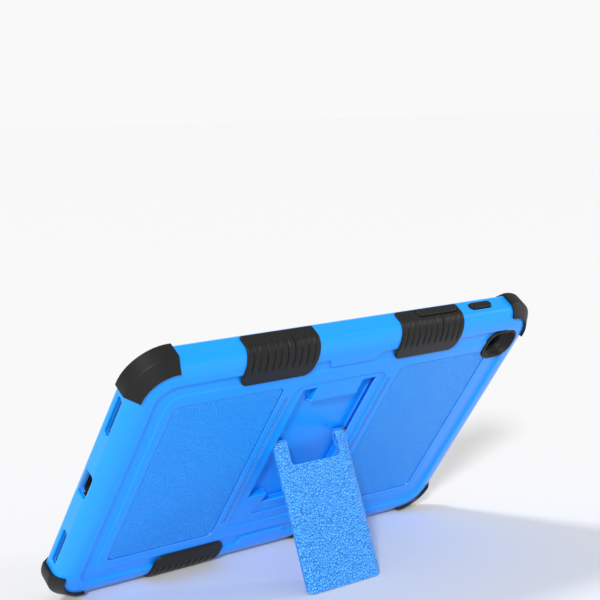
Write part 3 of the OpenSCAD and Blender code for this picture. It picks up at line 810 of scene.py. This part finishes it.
@dataclass
class BackShell:
    """The hard back: rounded edge, raised rim, channel, grained panels and the leg's recess."""

    sizes: CaseSizes
    pad_half: float = 14.8
    pad_slant: float = 2.8
    pad_inner: float = 15.0
    pad_blend: float = 0.9
    panel_x: tuple[float, float] = (31.9, 86.1)
    panel_y: float = 46.3
    line_x: tuple[float, float] = (27.6, 28.7)
    line_width: float = 0.75
    line_tip: float = 42.3
    skirt_run: float = 4.2
    collar_hole: tuple[float, float, float] = (18.7, 17.1, 7.05)
    guide: Outline = Outline.rectangle(34.26, 1.76, 0.86, (23.55, 0.0))
    guide_level: float = -2.3
    ledge_half: tuple[float, float] = (13.15, 11.1)
    ledge_top: float = -31.3
    channel: Sequence[Point] = (
        (10.0, 0.0), (10.35, -0.06), (10.6, -0.3), (10.9, -0.66), (11.3, -0.92), (11.9, -1.02),
        (12.9, -1.04), (13.6, -1.02), (14.2, -0.98), (14.6, -0.95), (14.9, -0.92), (15.3, -0.88),
        (15.7, -0.84), (16.4, -0.76), (16.7, -0.62), (17.0, -0.44), (17.3, -0.4), (18.2, -0.4))

    def pad_share(self, x: float, inset: float) -> float:
        """How far a point is raised on to a rim pad, from 0 to 1."""
        past_end, past_lip = abs(x) - self.pad_end(inset), inset - self.pad_inner
        return (1 - eased(past_end / self.pad_blend + 0.5)) * (1 - eased(past_lip / self.pad_blend + 0.5))

    def pad_end(self, inset: float) -> float:
        """Measures a rim pad at an inset.

        Args:
            inset: Distance in from the side.

        Returns:
            Half the length there.
        """
        run = self.pad_inner - self.sizes.crest
        share = min(max((inset - self.sizes.crest) / run, 0.0), 1.0)
        return self.pad_half - self.pad_slant * share

    def rim_ring(self, inset: float, height: float) -> list[Vector]:
        """Points round the rim, with extra ones at the pads' ends.

        Args:
            inset: Distance in from the side.
            height: Height away from the pads.

        Returns:
            The ring's points, anticlockwise.
        """
        s = self.sizes
        flat = s.outline().ring(inset)
        quarter_count = len(flat) // 4
        end = self.pad_end(inset)
        stops = [end + d for d in (0.6, 0.42, 0.22, 0.0, -0.22, -0.42, -0.6)]
        stops = stops + [-v for v in reversed(stops)]
        points: list[Point] = []
        for k in range(4):
            points += flat[k * quarter_count:(k + 1) * quarter_count]
            if k == 1:
                points += [(v, s.half_y - inset) for v in stops]
            if k == 3:
                points += [(-v, -s.half_y + inset) for v in stops]
        ring = []
        for x, y in points:
            on_side = inset > s.crest and abs(y) > s.half_y - inset - 0.01
            share = self.pad_share(x, inset) if on_side else 0.0
            ring.append(Vector((x, y, height * (1 - share))))
        return ring

    def panel_outline(self, end: End) -> Outline:
        """Returns one panel's outline."""
        near, far = self.panel_x
        return Outline.rectangle(far - near, 2 * self.panel_y, 3.0, (end.value * (near + far) / 2, 0.0))

    def line_outline(self, x: float) -> Outline:
        """Draws one fine groove.

        Args:
            x: Where its middle line is.

        Returns:
            The outline, pointed at both ends.
        """
        half, tip = self.line_width / 2, self.line_tip
        return Outline(((x + half, -tip + 3, 1.0), (x + half, tip - 3, 1.0), (x, tip, 0.05),
                        (x - half, tip - 3, 1.0), (x - half, -tip + 3, 1.0), (x, -tip, 0.05)), 2)

    def body(self) -> Skin:
        """Builds the closed shell before its openings are cut.

        Returns:
            The mesh, with material 0 for the smooth plastic and 1 for the grained panels.
        """
        s, skin = self.sizes, Skin()
        first = skin.start(self.rim_ring(0.12, -s.seam))
        skin.grow(self.rim_ring(0.0, -s.seam + 0.15))
        for a in quarter_turn(12):
            skin.grow(self.rim_ring(*s.rounding_point(math.degrees(a))))
        for inset, height in self.channel:
            skin.grow(self.rim_ring(inset, height))
        border = skin.ring
        holes = []
        for end in End:
            outline = self.panel_outline(end)
            holes.append(skin.start(outline.ring(0.0), s.border))
            skin.follow(outline, [(0.08, -0.44), (0.16, -0.65), (0.2, -0.95), (0.3, -1.05), (0.48, -1.02),
                                  (0.6, -0.8), (0.74, -0.67), (1.0, -0.65)])
            skin.cap(1)
        for x in (v * end.value for v in self.line_x for end in End):
            outline = self.line_outline(x)
            holes.append(skin.start(outline.ring(0.0), s.border))
            skin.follow(outline, [(0.06, -0.46), (0.12, -0.8), (0.24, -0.95)])
            skin.cap()
        dish = Outline.rectangle(2 * s.dish_x, 2 * s.dish_y, 5.5, steps=8)
        holes.append(skin.start(dish.ring(-0.5), s.border))
        skin.follow(dish, [(-0.3, -0.43), (-0.1, -0.55), (0.05, -0.8), (0.25, -0.95), (0.6, -0.98),
                           (1.6, -0.9), (2.6, -0.83), (3.2, s.dish)])
        skin.cap()
        skin.fill([border, *holes], UP)
        skin.ring = first
        for inset, height in ((s.shell_wall, -s.seam), (s.shell_wall, -6.4), (4.9, -3.0), (6.5, -2.7)):
            skin.grow(self.rim_ring(inset, height))
        inner = skin.ring
        tray = s.tray_outline()
        hole = skin.start(tray.ring(0.0), -2.7)
        skin.follow(tray, [(0.0, -s.back_build + 0.3), (0.1, -s.back_build + 0.1), (0.3, -s.back_build)])
        skin.cap()
        skin.fill([inner, hole], DOWN)
        return skin

    def pocket(self) -> bpy.types.Object:
        """Builds the space that the leg folds into.

        Returns:
            The cutter.
        """
        s, skin = self.sizes, Skin()
        skin.solid(s.recess_outline(), [(0.7, s.recess), (0.35, s.recess + 0.1), (0.1, s.recess + 0.35),
                                        (0.0, s.recess + 0.7), (0.0, -1.25), (-0.06, -1.0), (-0.2, -0.86),
                                        (-0.42, s.dish), (-0.42, 1.0)])
        pocket = skin.object("pocket")
        carve(pocket, self.skirt())
        return pocket

    def skirt(self) -> bpy.types.Object:
        """Builds the hollow slope from the tongue's end down to the pocket's floor.

        Returns:
            The part of the pocket that stays solid.
        """
        s, skin = self.sizes, Skin()
        drop = s.dish - s.recess
        slope = [(s.tongue_end + 0.3 - self.skirt_run * (1 - math.cos(a)),
                  s.dish - 0.05 - drop * math.sin(a))
                 for a in quarter_turn(10)]
        section = [(s.tongue_end + 1.5, s.dish - 0.05), *slope, (slope[-1][0], s.recess - 1.5),
                   (s.tongue_end + 1.5, s.recess - 1.5)]
        half = s.tongue_x
        skin.start([Vector((-half, y, z)) for y, z in section])
        skin.cap()
        skin.grow([Vector((half, y, z)) for y, z in section])
        skin.cap()
        return skin.object("skirt")

    def ledge(self) -> bpy.types.Object:
        """Builds the shallow end of the finger gap and the hole for the camera collar.

        Returns:
            The cutter.
        """
        s, skin = self.sizes, Skin()
        low, high, top = *self.ledge_half, self.ledge_top
        ledge = Outline(((low, s.recess_bottom, 1.0), (high, top, 0.5), (-high, top, 0.5),
                         (-low, s.recess_bottom, 1.0)), 4)
        skin.solid(ledge, [(0.3, -1.4), (0.08, -1.33), (0.0, -1.15), (-0.1, -0.9), (-0.3, s.dish),
                           (-0.3, 1.0)])
        skin.solid(s.around_camera(*self.collar_hole), [(0.0, -SLOT_DEPTH), (0.0, 2.0)])
        return skin.object("ledge")

    def guides(self) -> bpy.types.Object:
        """Builds the two slots that the hinge pins slide along.

        Returns:
            The cutter.
        """
        s, skin = self.sizes, Skin()
        for end in End:
            skin.solid(self.guide, [(0.0, -1.0), (0.0, 1.3)],
                       into_end(end, s.recess_x, 0.0, self.guide_level))
        return skin.object("guides")

    def build(self, shop: Workshop) -> None:
        """Builds and dresses the back shell.

        Args:
            shop: The workshop that finishes its pieces.
        """
        piece = self.body().object("back_shell_blue")
        shop.paint(piece, [SHELL_BLUE, PANEL_BLUE])
        for cutter in (SlotCutters(self.sizes).all_ports(), self.pocket(), self.ledge(), self.guides()):
            carve(piece, cutter)
        shop.finish(piece, [SHELL_BLUE, PANEL_BLUE], "case", "blue_shell", ["back_shell"])


@dataclass
class FrontFrame:
    """The hard front frame round the screen window."""

    sizes: CaseSizes
    window_x: float = 183.0
    window_y: float = 115.0
    lens_hole: tuple[float, float, float] = (5.2, 8.5, 2.59)
    lens_x: float = 95.5
    lens_y: float = -7.6

    def build(self, shop: Workshop) -> None:
        """Builds and dresses the front frame.

        Args:
            shop: The workshop that finishes its pieces.
        """
        s, skin = self.sizes, Skin()
        outline = s.outline()
        window = Outline.rectangle(self.window_x, self.window_y, 3.0)
        lens = Outline.rectangle(*self.lens_hole, (self.lens_x, self.lens_y))
        first = skin.start(outline.ring(0.12), -s.seam)
        skin.follow(outline, [(0.0, -s.seam - 0.12), (0.1, -s.seam - 0.25), (s.bevel_break - 0.3, -12.97),
                              (s.bevel_break, s.bevel_level), (s.bevel_break + 0.4, -13.18),
                              (s.bevel_inset - 0.4, -13.75), (s.bevel_inset, -s.depth),
                              (s.bevel_inset + 0.6, -s.depth)])
        face = skin.ring
        outer_holes, inner_holes = skin.tunnels((window, lens), -s.depth, [
            (0.03, -s.depth + 0.02), (0.12, -s.depth + 0.08), (0.25, -s.depth + 0.25),
            (0.3, -s.frame_back - 0.3), (0.2, -s.frame_back)])
        skin.fill([face, *outer_holes], DOWN)
        skin.ring = first
        skin.follow(outline, [(2.05, -s.seam), (2.05, -9.4), (2.25, -9.1), (3.05, -9.1), (3.25, -9.4),
                              (3.25, -s.frame_back)])
        skin.fill([skin.ring, *inner_holes], UP)
        piece = skin.object("front_frame_blue")
        carve(piece, SlotCutters(s).all_ports())
        shop.finish(piece, [SHELL_BLUE], "case", "blue_frame", ["front_frame"])


@dataclass
class Liner:
    """The rubber liner that holds the tablet."""

    sizes: CaseSizes
    bay_corner: float = 9.0
    camera_hole: tuple[float, float, float] = (11.0, 11.0, 2.75)

    def build(self, shop: Workshop) -> None:
        """Builds and dresses the liner.

        Args:
            shop: The workshop that finishes its pieces.
        """
        s, skin = self.sizes, Skin()
        outline = s.outline()
        bay = Outline.rectangle(s.bay_x, s.bay_y, self.bay_corner, steps=10)
        first = skin.start(outline.ring(3.35), -s.frame_back + 0.05)
        skin.follow(outline, [(3.35, -9.0), (2.1, -9.0), (2.1, -6.5), (5.0, -3.1), (6.6, -2.75)])
        back = skin.ring
        rim = skin.start(bay.ring(-0.15), -s.frame_back + 0.05)
        skin.fill([first, rim], DOWN)
        skin.ring = rim
        skin.follow(bay, [(0.0, -s.frame_back + 0.2), (0.0, -s.back_build - 0.9),
                          (0.15, -s.back_build - 0.35), (0.5, -s.back_build - 0.1), (1.1, -s.back_build)])
        floor = skin.ring
        camera = Outline.rectangle(*self.camera_hole, (s.camera_x, s.camera_y))
        front_holes, back_holes = skin.tunnels((s.tray_outline(0.1, 0.85), camera), -s.back_build,
                                               [(0.0, -2.75)])
        skin.fill([floor, *front_holes], DOWN)
        skin.fill([back, *back_holes], UP)
        piece = skin.object("inner_liner_rubber")
        carve(piece, SlotCutters(s).all_ports())
        shop.finish(piece, [LINER_RUBBER], "case", "liner_rubber", ["inner_liner"])


@dataclass
class CameraCollar:
    """The rubber funnel round the camera hole."""

    sizes: CaseSizes
    proud: float = 0.28
    rim: tuple[float, float, float] = (18.6, 17.0, 7.0)
    mouth: tuple[float, float, float] = (11.0, 11.0, 3.6)

    def build(self, shop: Workshop) -> None:
        """Builds and dresses the collar.

        Args:
            shop: The workshop that finishes its pieces.
        """
        s, skin = self.sizes, Skin()
        outer, hole, top = s.around_camera(*self.rim), s.around_camera(*self.mouth), self.proud
        first = skin.start(outer.ring(0.0), -2.75)
        skin.follow(outer, [(0.0, top - 0.5), (0.06, top - 0.25), (0.2, top - 0.08), (0.4, top),
                            (0.85, top), (1.1, top - 0.1), (1.25, top - 0.4)])
        skin.follow(hole, [(-1.2, -1.7), (-0.95, -2.0), (-0.3, -2.15), (-0.1, -2.3), (-0.1, -2.75)])
        last = skin.ring
        bmesh.ops.bridge_loops(skin.bm, edges=skin.edges(first) + skin.edges(last))
        shop.finish(skin.object("camera_collar_rubber"), [PAD_RUBBER], "case", "collar_rubber",
                    ["camera_collar"])


@dataclass
class RubberPad:
    """A pad drawn at the camera end of the upper side and then mirrored into place."""

    sizes: CaseSizes
    end: End
    side: Side

    @property
    def where(self) -> str:
        """The pad's place, as the CAD nodes spell it."""
        return f"{self.end.name.lower()}_{self.side.name.lower()}"

    def piece(self, skin: Skin, kind: str) -> bpy.types.Object:
        """Mirrors the drawn pad into place and makes an object named after its kind."""
        skin.move(Matrix.Diagonal((self.end.value, self.side.value, 1, 1)))
        return skin.object(f"{kind}_{self.where}_rubber")


@dataclass
class CornerBumper(RubberPad):
    """A thick rubber corner that wraps from the front bevel on to the rounded edge."""

    reach: float = 16.8
    proud: float = 1.5
    front_wrap: float = 5.4
    back_angle: float = 56.0
    crease_angle: float = 12.0
    end_chamfer: float = 0.8
    edge_round: float = 0.32

    def section(self) -> list[Point]:
        """Draws the section, with the crease on its outside.

        Returns:
            Its corners as inset and height.
        """
        s = self.sizes
        back_x, back_z = s.rounding_point(self.back_angle)
        crease_x, crease_z = s.rounding_point(self.crease_angle)
        a = math.radians(self.back_angle)
        slope = Vector((s.crest * math.sin(a), s.rounding * math.cos(a))).normalized()
        out = Vector((-slope.y, slope.x))
        level = s.bevel_level - 0.7 * (self.front_wrap - s.bevel_break) / (s.bevel_inset - s.bevel_break)
        return [
            (self.front_wrap, level + 0.5), (self.front_wrap + 0.2, level - self.proud * 0.85),
            (s.bevel_break - 0.2, s.bevel_level - self.proud + 0.12),
            (-self.proud, -s.seam - 0.45), (-self.proud, crease_z - 0.2),
            (back_x + out.x * self.proud, back_z + out.y * self.proud),
            (back_x - out.x * 0.5, back_z - out.y * 0.5), (0.6, -6.0), (0.5, -s.seam + 0.2),
        ]

    def build(self, shop: Workshop) -> None:
        """Builds and dresses the bumper.

        Args:
            shop: The workshop that finishes its pieces.
        """
        s, skin = self.sizes, Skin()
        bm = skin.bm
        cx, cy = s.half_x - s.corner, s.half_y - s.corner
        ring = skin.start([Vector((cx + s.corner - x, cy, z)) for x, z in self.section()])
        bmesh.ops.contextual_create(bm, geom=skin.edges(ring))
        turned = bmesh.ops.spin(bm, geom=bm.faces[:] + skin.edges(ring), cent=(cx, cy, 0), axis=(0, 0, 1),
                                angle=math.pi / 2, steps=20, use_merge=False)["geom_last"]
        run = self.reach - s.corner
        self._lengthen(bm, of_kind(turned, BMFace), Vector((-run, 0, 0)))
        self._lengthen(bm, [f for f in bm.faces if abs(f.normal.y) > 0.9
                            and all(abs(v.co.y - cy) < 1e-6 for v in f.verts)], Vector((0, -run, 0)))
        bmesh.ops.remove_doubles(bm, verts=bm.verts[:], dist=1e-5)
        skin.outward()
        long_edges = [e for e in bm.edges if len(e.link_faces) == 2
                      and e.calc_face_angle(0) > math.radians(17) and not self._on_end(e, cx, cy, run)]
        bmesh.ops.bevel(bm, geom=long_edges, offset=self.edge_round, segments=3, affect="EDGES",
                        profile=0.5, material=-1, clamp_overlap=True)
        ends = [e for e in bm.edges if self._on_end(e, cx, cy, run)
                and len(e.link_faces) == 2 and e.calc_face_angle(0) > math.radians(60)]
        bmesh.ops.bevel(bm, geom=ends, offset=self.end_chamfer, segments=2, affect="EDGES",
                        profile=0.55, material=-1, clamp_overlap=True)
        shop.finish(self.piece(skin, "corner"), [PAD_RUBBER], "case", "bumper_rubber",
                    [f"bumper_{self.where}"])

    @staticmethod
    def _lengthen(bm: bmesh.types.BMesh, caps: list[BMFace], run: Vector) -> None:
        """Extrudes the pad's end faces.

        Args:
            bm: The pad's mesh.
            caps: The faces that close one end.
            run: How far they move.
        """
        moved = bmesh.ops.extrude_face_region(bm, geom=caps)["geom"]
        bmesh.ops.translate(bm, verts=of_kind(moved, BMVert), vec=run)
        bmesh.ops.delete(bm, geom=[f for f in caps if f.is_valid], context="FACES_ONLY")

    @staticmethod
    def _on_end(edge: BMEdge, cx: float, cy: float, run: float) -> bool:
        """Says whether an edge lies on one of the two end faces."""
        return (all(abs(v.co.x - (cx - run)) < 1e-4 for v in edge.verts)
                or all(abs(v.co.y - (cy - run)) < 1e-4 for v in edge.verts))


@dataclass
class SideGrip(RubberPad):
    """A ribbed rubber grip wrapped over a long side."""

    near_x: float = 22.3
    length: float = 36.7
    proud: float = 0.9
    reach: float = 16.8
    lip_corner: float = 5.0
    front_corner: float = 1.5
    grooves: int = 10
    groove_width: float = 1.15
    groove_depth: float = 0.7
    groove_start: float = 3.5
    groove_run_out: float = 0.8
    plain_end: float = 1.3
    edge_round: float = 0.75
    thickness: float = 1.3

    def path(self) -> list[Vector]:
        """Draws the line that the grip wraps.

        Returns:
            Its points as inset and height, from the front to the lip.
        """
        s = self.sizes
        curve = [s.rounding_point(math.degrees(a)) for a in quarter_turn(14)]
        return [Vector(p) for p in [(0.0, -s.seam + 0.4), (0.0, -8.5), *curve, (s.crest + 1.5, -0.02),
                                    (14.0, -0.22), (self.reach, s.border)]]

    def wrap(self, distance: float, lift: float) -> Point:
        """Finds a point on the grip.

        Args:
            distance: How far along the path.
            lift: How far off it.

        Returns:
            The point as inset and height.
        """
        path = self.path()
        rest = max(distance, 0.0)
        for i in range(len(path) - 1):
            step = (path[i + 1] - path[i]).length
            if rest <= step or i == len(path) - 2:
                break
            rest -= step
        t = min(rest / step, 1.0)
        here = path[i].lerp(path[i + 1], t)
        ahead = path[min(i + 2, len(path) - 1)] - path[i]
        behind = path[i + 1] - path[max(i - 1, 0)]
        along = behind.normalized().lerp(ahead.normalized(), t).normalized()
        return here.x - along.y * lift, here.y + along.x * lift

    def total(self) -> float:
        """Returns the path's length."""
        path = self.path()
        return sum((b - a).length for a, b in zip(path, path[1:]))

    def groove(self, x: float, distance: float) -> float:
        """Measures the grooves at a point.

        Args:
            x: Distance from one end of the grip.
            distance: How far along the path.

        Returns:
            The depth there.
        """
        pitch = (self.length - 2 * self.plain_end) / self.grooves
        phase = ((x - self.plain_end) / pitch) % 1.0
        across = eased(1 - abs(phase - 0.5) * pitch / (self.groove_width / 2))
        first, last = self.groove_start, self.total() - (self.reach - self.sizes.crest) - 0.3
        ends = min(distance - first, last - distance)
        along = min(max(ends / self.groove_run_out + 0.5, 0.0), 1.0)
        inside = self.plain_end < x < self.length - self.plain_end
        return self.groove_depth * across * along * inside

    def half_length_at(self, distance: float) -> float:
        """Measures the grip's length.

        Args:
            distance: How far along the path.

        Returns:
            Half the length, less round the corners.
        """
        half, total = self.length / 2, self.total()
        for corner, gap in ((self.lip_corner, total - distance), (self.front_corner, distance)):
            half -= rounded_off(corner, gap)
        return half

    def build(self, shop: Workshop) -> None:
        """Builds and dresses the grip.

        Args:
            shop: The workshop that finishes its pieces.
        """
        s, skin = self.sizes, Skin()
        columns, rows, total = self.grooves * 12 + 8, 46, self.total()
        grid = bmesh.ops.create_grid(skin.bm, x_segments=columns, y_segments=rows, size=1.0)["verts"]
        r = self.edge_round
        for vert in grid:
            u, v = (vert.co.x + 1) / 2, (vert.co.y + 1) / 2
            distance = self._spread(v, rows, total, r)
            half = self.half_length_at(distance)
            x = self._spread(u, columns, 2 * half, r) - half
            gap = min(half - abs(x), distance, total - distance)
            lift = self.proud * (1 - rounded_off(1.0, gap / r)) - self.groove(x + self.length / 2, distance)
            inset, z = self.wrap(distance, lift)
            vert.co = Vector((self.near_x + self.length / 2 + x, s.half_y - inset, z))
        bmesh.ops.recalc_face_normals(skin.bm, faces=skin.bm.faces[:])
        if sum(f.normal.z for f in skin.bm.faces) < 0:
            bmesh.ops.reverse_faces(skin.bm, faces=skin.bm.faces[:])
        bmesh.ops.solidify(skin.bm, geom=skin.bm.faces[:], thickness=self.thickness)
        piece = self.piece(skin, "grip")
        if self.end is End.CAMERA and self.side is Side.TOP:
            cutters = SlotCutters(s)
            cutters.button_slots(0.1)
            carve(piece, cutters.object(), True)
        shop.finish(piece, [PAD_RUBBER], "case", "grip_rubber", [f"grip_{self.where}"])

    @staticmethod
    def _spread(share: float, count: int, total: float, edge: float) -> float:
        """Spreads grid lines over a length, closer together at its edges.

        Args:
            share: The line, as a share from 0 to 1.
            count: How many spaces there are.
            total: The length.
            edge: How wide the band at each edge is that takes four of them.

        Returns:
            Where the line goes.
        """
        near = (0.0, 0.06, 0.22, 0.5, 1.0)
        index = round(share * count)
        if index <= 4:
            return near[index] * edge
        if index >= count - 4:
            return total - near[count - index] * edge
        return edge + (total - 2 * edge) * (index - 4) / (count - 8)


@dataclass(frozen=True)
class Button:
    """A rubber button that presses into the upper long side."""

    name: str
    x: float
    length: float
    width: float
    proud: float

    def build(self, shop: Workshop) -> None:
        """Builds and dresses the button with its flange.

        Args:
            shop: The workshop that finishes its pieces.
        """
        s, skin = SIZES, Skin()
        cap = Outline.rectangle(self.length, self.width, self.width / 2 - 0.01, steps=8)
        skin.solid(cap, [(0.0, -2.6), (0.0, self.proud - 0.5), (0.08, self.proud - 0.25),
                         (0.28, self.proud - 0.08), (0.6, self.proud), (1.1, self.proud)])
        flange = Outline.rectangle(self.length + 2.2, self.width + 2.2, self.width / 2 + 1.09, steps=8)
        skin.solid(flange, [(0.1, -3.2), (0.0, -3.1), (0.0, -2.4), (0.1, -2.3)])
        skin.move(s.top_side(self.x))
        shop.finish(skin.object(f"{self.name}_rubber"), [PAD_RUBBER], self.name, "button_rubber",
                    [self.name])


BUTTONS = (Button("power_button", 72.5, 13.0, 3.6, 0.9), Button("volume_button", 44.8, 23.5, 3.6, 1.5))


@dataclass
class Kickstand:
    """The grained leg, drawn folded with its pivot at the origin and then swung open."""

    length: float = 65.0
    width: float = 40.0
    depth: float = 3.0
    notch_width: float = 27.0
    notch_depth: float = 11.8
    chamfer: float = 3.0
    chamfer_depth: float = 1.4
    foot_bevel: float = 32.0
    edge_round: float = 0.35

    def outline(self) -> Outline:
        """Draws the leg with its two prongs.

        Returns:
            The outline, anticlockwise from the foot.
        """
        x, n, half = self.width / 2, self.notch_width / 2, self.depth / 2
        inner = half - self.notch_depth
        return Outline(((x, -self.length, 0.3), (x, half, 1.3), (n, half, 1.0), (n, inner, 1.6),
                        (-n, inner, 1.6), (-n, half, 1.0), (-x, half, 1.3), (-x, -self.length, 0.3)), 6)

    def insets(self, z: float) -> list[float]:
        """Rounds and bevels the edges of the leg.

        Args:
            z: Height from the middle of the leg.

        Returns:
            An inset for each edge of the outline.
        """
        half, r = self.depth / 2, self.edge_round
        soft = rounded_off(r, min(half - z, half + z))
        below = self.chamfer_depth - (half - z)
        side = self.chamfer * below / self.chamfer_depth + 0.15 * soft if below > 0 else soft
        tip = min(rounded_off(half, half - abs(z)), half * 0.98)
        foot = (half - z) * math.tan(math.radians(self.foot_bevel)) + soft
        return [side, tip, soft, soft, soft, tip, side, foot]

    def build(self, shop: Workshop) -> None:
        """Builds the leg, swings it open about its joint and dresses it.

        Args:
            shop: The workshop that finishes its pieces.
        """
        skin, outline, half = Skin(), self.outline(), self.depth / 2
        shoulder = half - self.chamfer_depth
        levels = [half * math.sin(math.radians(a)) for a in range(-90, 91, 9)]
        levels = sorted({round(z, 4) for z in (*levels, shoulder, shoulder - 0.12)})
        skin.start(outline.ring(self.insets(levels[0])), levels[0])
        skin.cap()
        for z in levels[1:]:
            skin.grow(outline.ring(self.insets(z)), z)
        skin.cap()
        joint = next(j for j in frame["joints"] if j["name"] == "leg_swing")
        stand = shop.stance.matrix()
        pivot = stand.inverted() @ Vector(joint["pos_m"])
        swing = Matrix.Rotation(-math.radians(joint["range_deg"][1]), 4, "X")
        skin.move(Matrix.Translation(pivot) @ swing)
        shop.finish(skin.object("kickstand_leg_blue"), [LEG_BLUE_LIT], "leg", "blue_leg", ["kickstand_leg"])
        for node in ("hinge_pin_camera_side", "hinge_pin_port_side"):
            shop.dress(node, PIN_STEEL)


# ---------------------------------------------------------------- studio


@dataclass
class Studio:
    """A pale floor, soft lights and the camera."""

    camera_place: tuple[float, float, float] = (-0.38247, -0.4792, 0.20196)
    camera_forward: tuple[float, float, float] = (0.62208, 0.77161, -0.13279)
    camera_up: tuple[float, float, float] = (0.10614, 0.08493, 0.99072)
    lens: float = 85.86
    sensor: float = 36.0
    floor_size: float = 40.0
    sky: float = 0.45
    backdrop: float = 0.95
    pale: Colour = (0.82, 0.82, 0.83)
    lamps: tuple[tuple[str, float, float, float, float], ...] = (
        ("key", 225.0, 24.0, 7.0, 2.7), ("top", 320.0, 55.0, 12.0, 1.2), ("right", 115.0, 14.0, 9.0, 0.75))

    def floor(self) -> None:
        """Lays the floor."""
        skin = Skin()
        skin.start(Outline.rectangle(self.floor_size, self.floor_size, 1.0).ring(0.0), -0.0002)
        skin.cap()
        floor = skin.object("floor")
        material = bpy.data.materials.new("floor_pale")
        material.use_nodes = True
        NodeTools(material.node_tree).feed(material.node_tree.nodes["Principled BSDF"], {
            "Base Color": (*self.pale, 1.0), "Roughness": 0.85, "Specular IOR Level": 0.2})
        floor.data.materials.append(material)

    def light(self, name: str, azimuth: float, elevation: float, spread: float, strength: float) -> None:
        """Adds one far soft light.

        Args:
            name: Its name.
            azimuth: Degrees round from +Y towards +X at which it stands.
            elevation: Degrees above the floor at which it stands.
            spread: How wide it looks, in degrees.
            strength: Its strength in watts a square metre.
        """
        lamp = bpy.data.lights.new(name, "SUN")
        lamp.energy, lamp.angle = strength, math.radians(spread)
        a, e = math.radians(azimuth), math.radians(elevation)
        towards = Vector((math.sin(a) * math.cos(e), math.cos(a) * math.cos(e), math.sin(e)))
        box = bpy.data.objects.new(name, lamp)
        box.location = towards * 2.0
        box.rotation_euler = towards.to_track_quat("Z", "Y").to_euler()
        bpy.context.scene.collection.objects.link(box)

    def world(self) -> None:
        """Builds the soft sky, which the camera sees as bright as the floor."""
        world = bpy.data.worlds.new("studio")
        world.use_nodes = True
        n = NodeTools(world.node_tree)
        seen = n.maths("MULTIPLY", n.add("ShaderNodeLightPath").outputs["Is Camera Ray"],
                       self.backdrop - self.sky)
        n.feed(world.node_tree.nodes["Background"], {"Color": (1.0, 1.0, 1.0, 1.0),
                                                     "Strength": n.maths("ADD", seen, self.sky)})
        bpy.context.scene.world = world

    def build(self) -> None:
        """Builds the whole studio."""
        self.floor()
        self.world()
        for lamp in self.lamps:
            self.light(*lamp)
        bpy.context.scene.view_settings.view_transform = "Standard"
        data = bpy.data.cameras.new("camera")
        data.lens, data.sensor_width = self.lens, self.sensor
        data.clip_start, data.clip_end = 0.01, 100.0
        camera = bpy.data.objects.new("camera", data)
        forward, up = Vector(self.camera_forward).normalized(), Vector(self.camera_up)
        right = forward.cross(up).normalized()
        turn = Matrix((right, right.cross(forward), -forward)).transposed()
        camera.location = self.camera_place
        camera.rotation_euler = turn.to_euler()
        bpy.context.scene.collection.objects.link(camera)
        bpy.context.scene.camera = camera


def main() -> None:
    """Builds the studio and every piece."""
    logging.basicConfig(level=logging.INFO, format="%(message)s")
    Studio().build()
    bay = next(m for m in frame["record"]["mounts"] if m["name"] == "tablet_bay")
    shop = Workshop(Stance(bay, SIZES.back_build))
    BackShell(SIZES).build(shop)
    FrontFrame(SIZES).build(shop)
    Liner(SIZES).build(shop)
    CameraCollar(SIZES).build(shop)
    for end in End:
        for side in Side:
            CornerBumper(SIZES, end, side).build(shop)
            SideGrip(SIZES, end, side).build(shop)
    for button in BUTTONS:
        button.build(shop)
    Kickstand().build(shop)


if __name__ == "__main__":
    main()
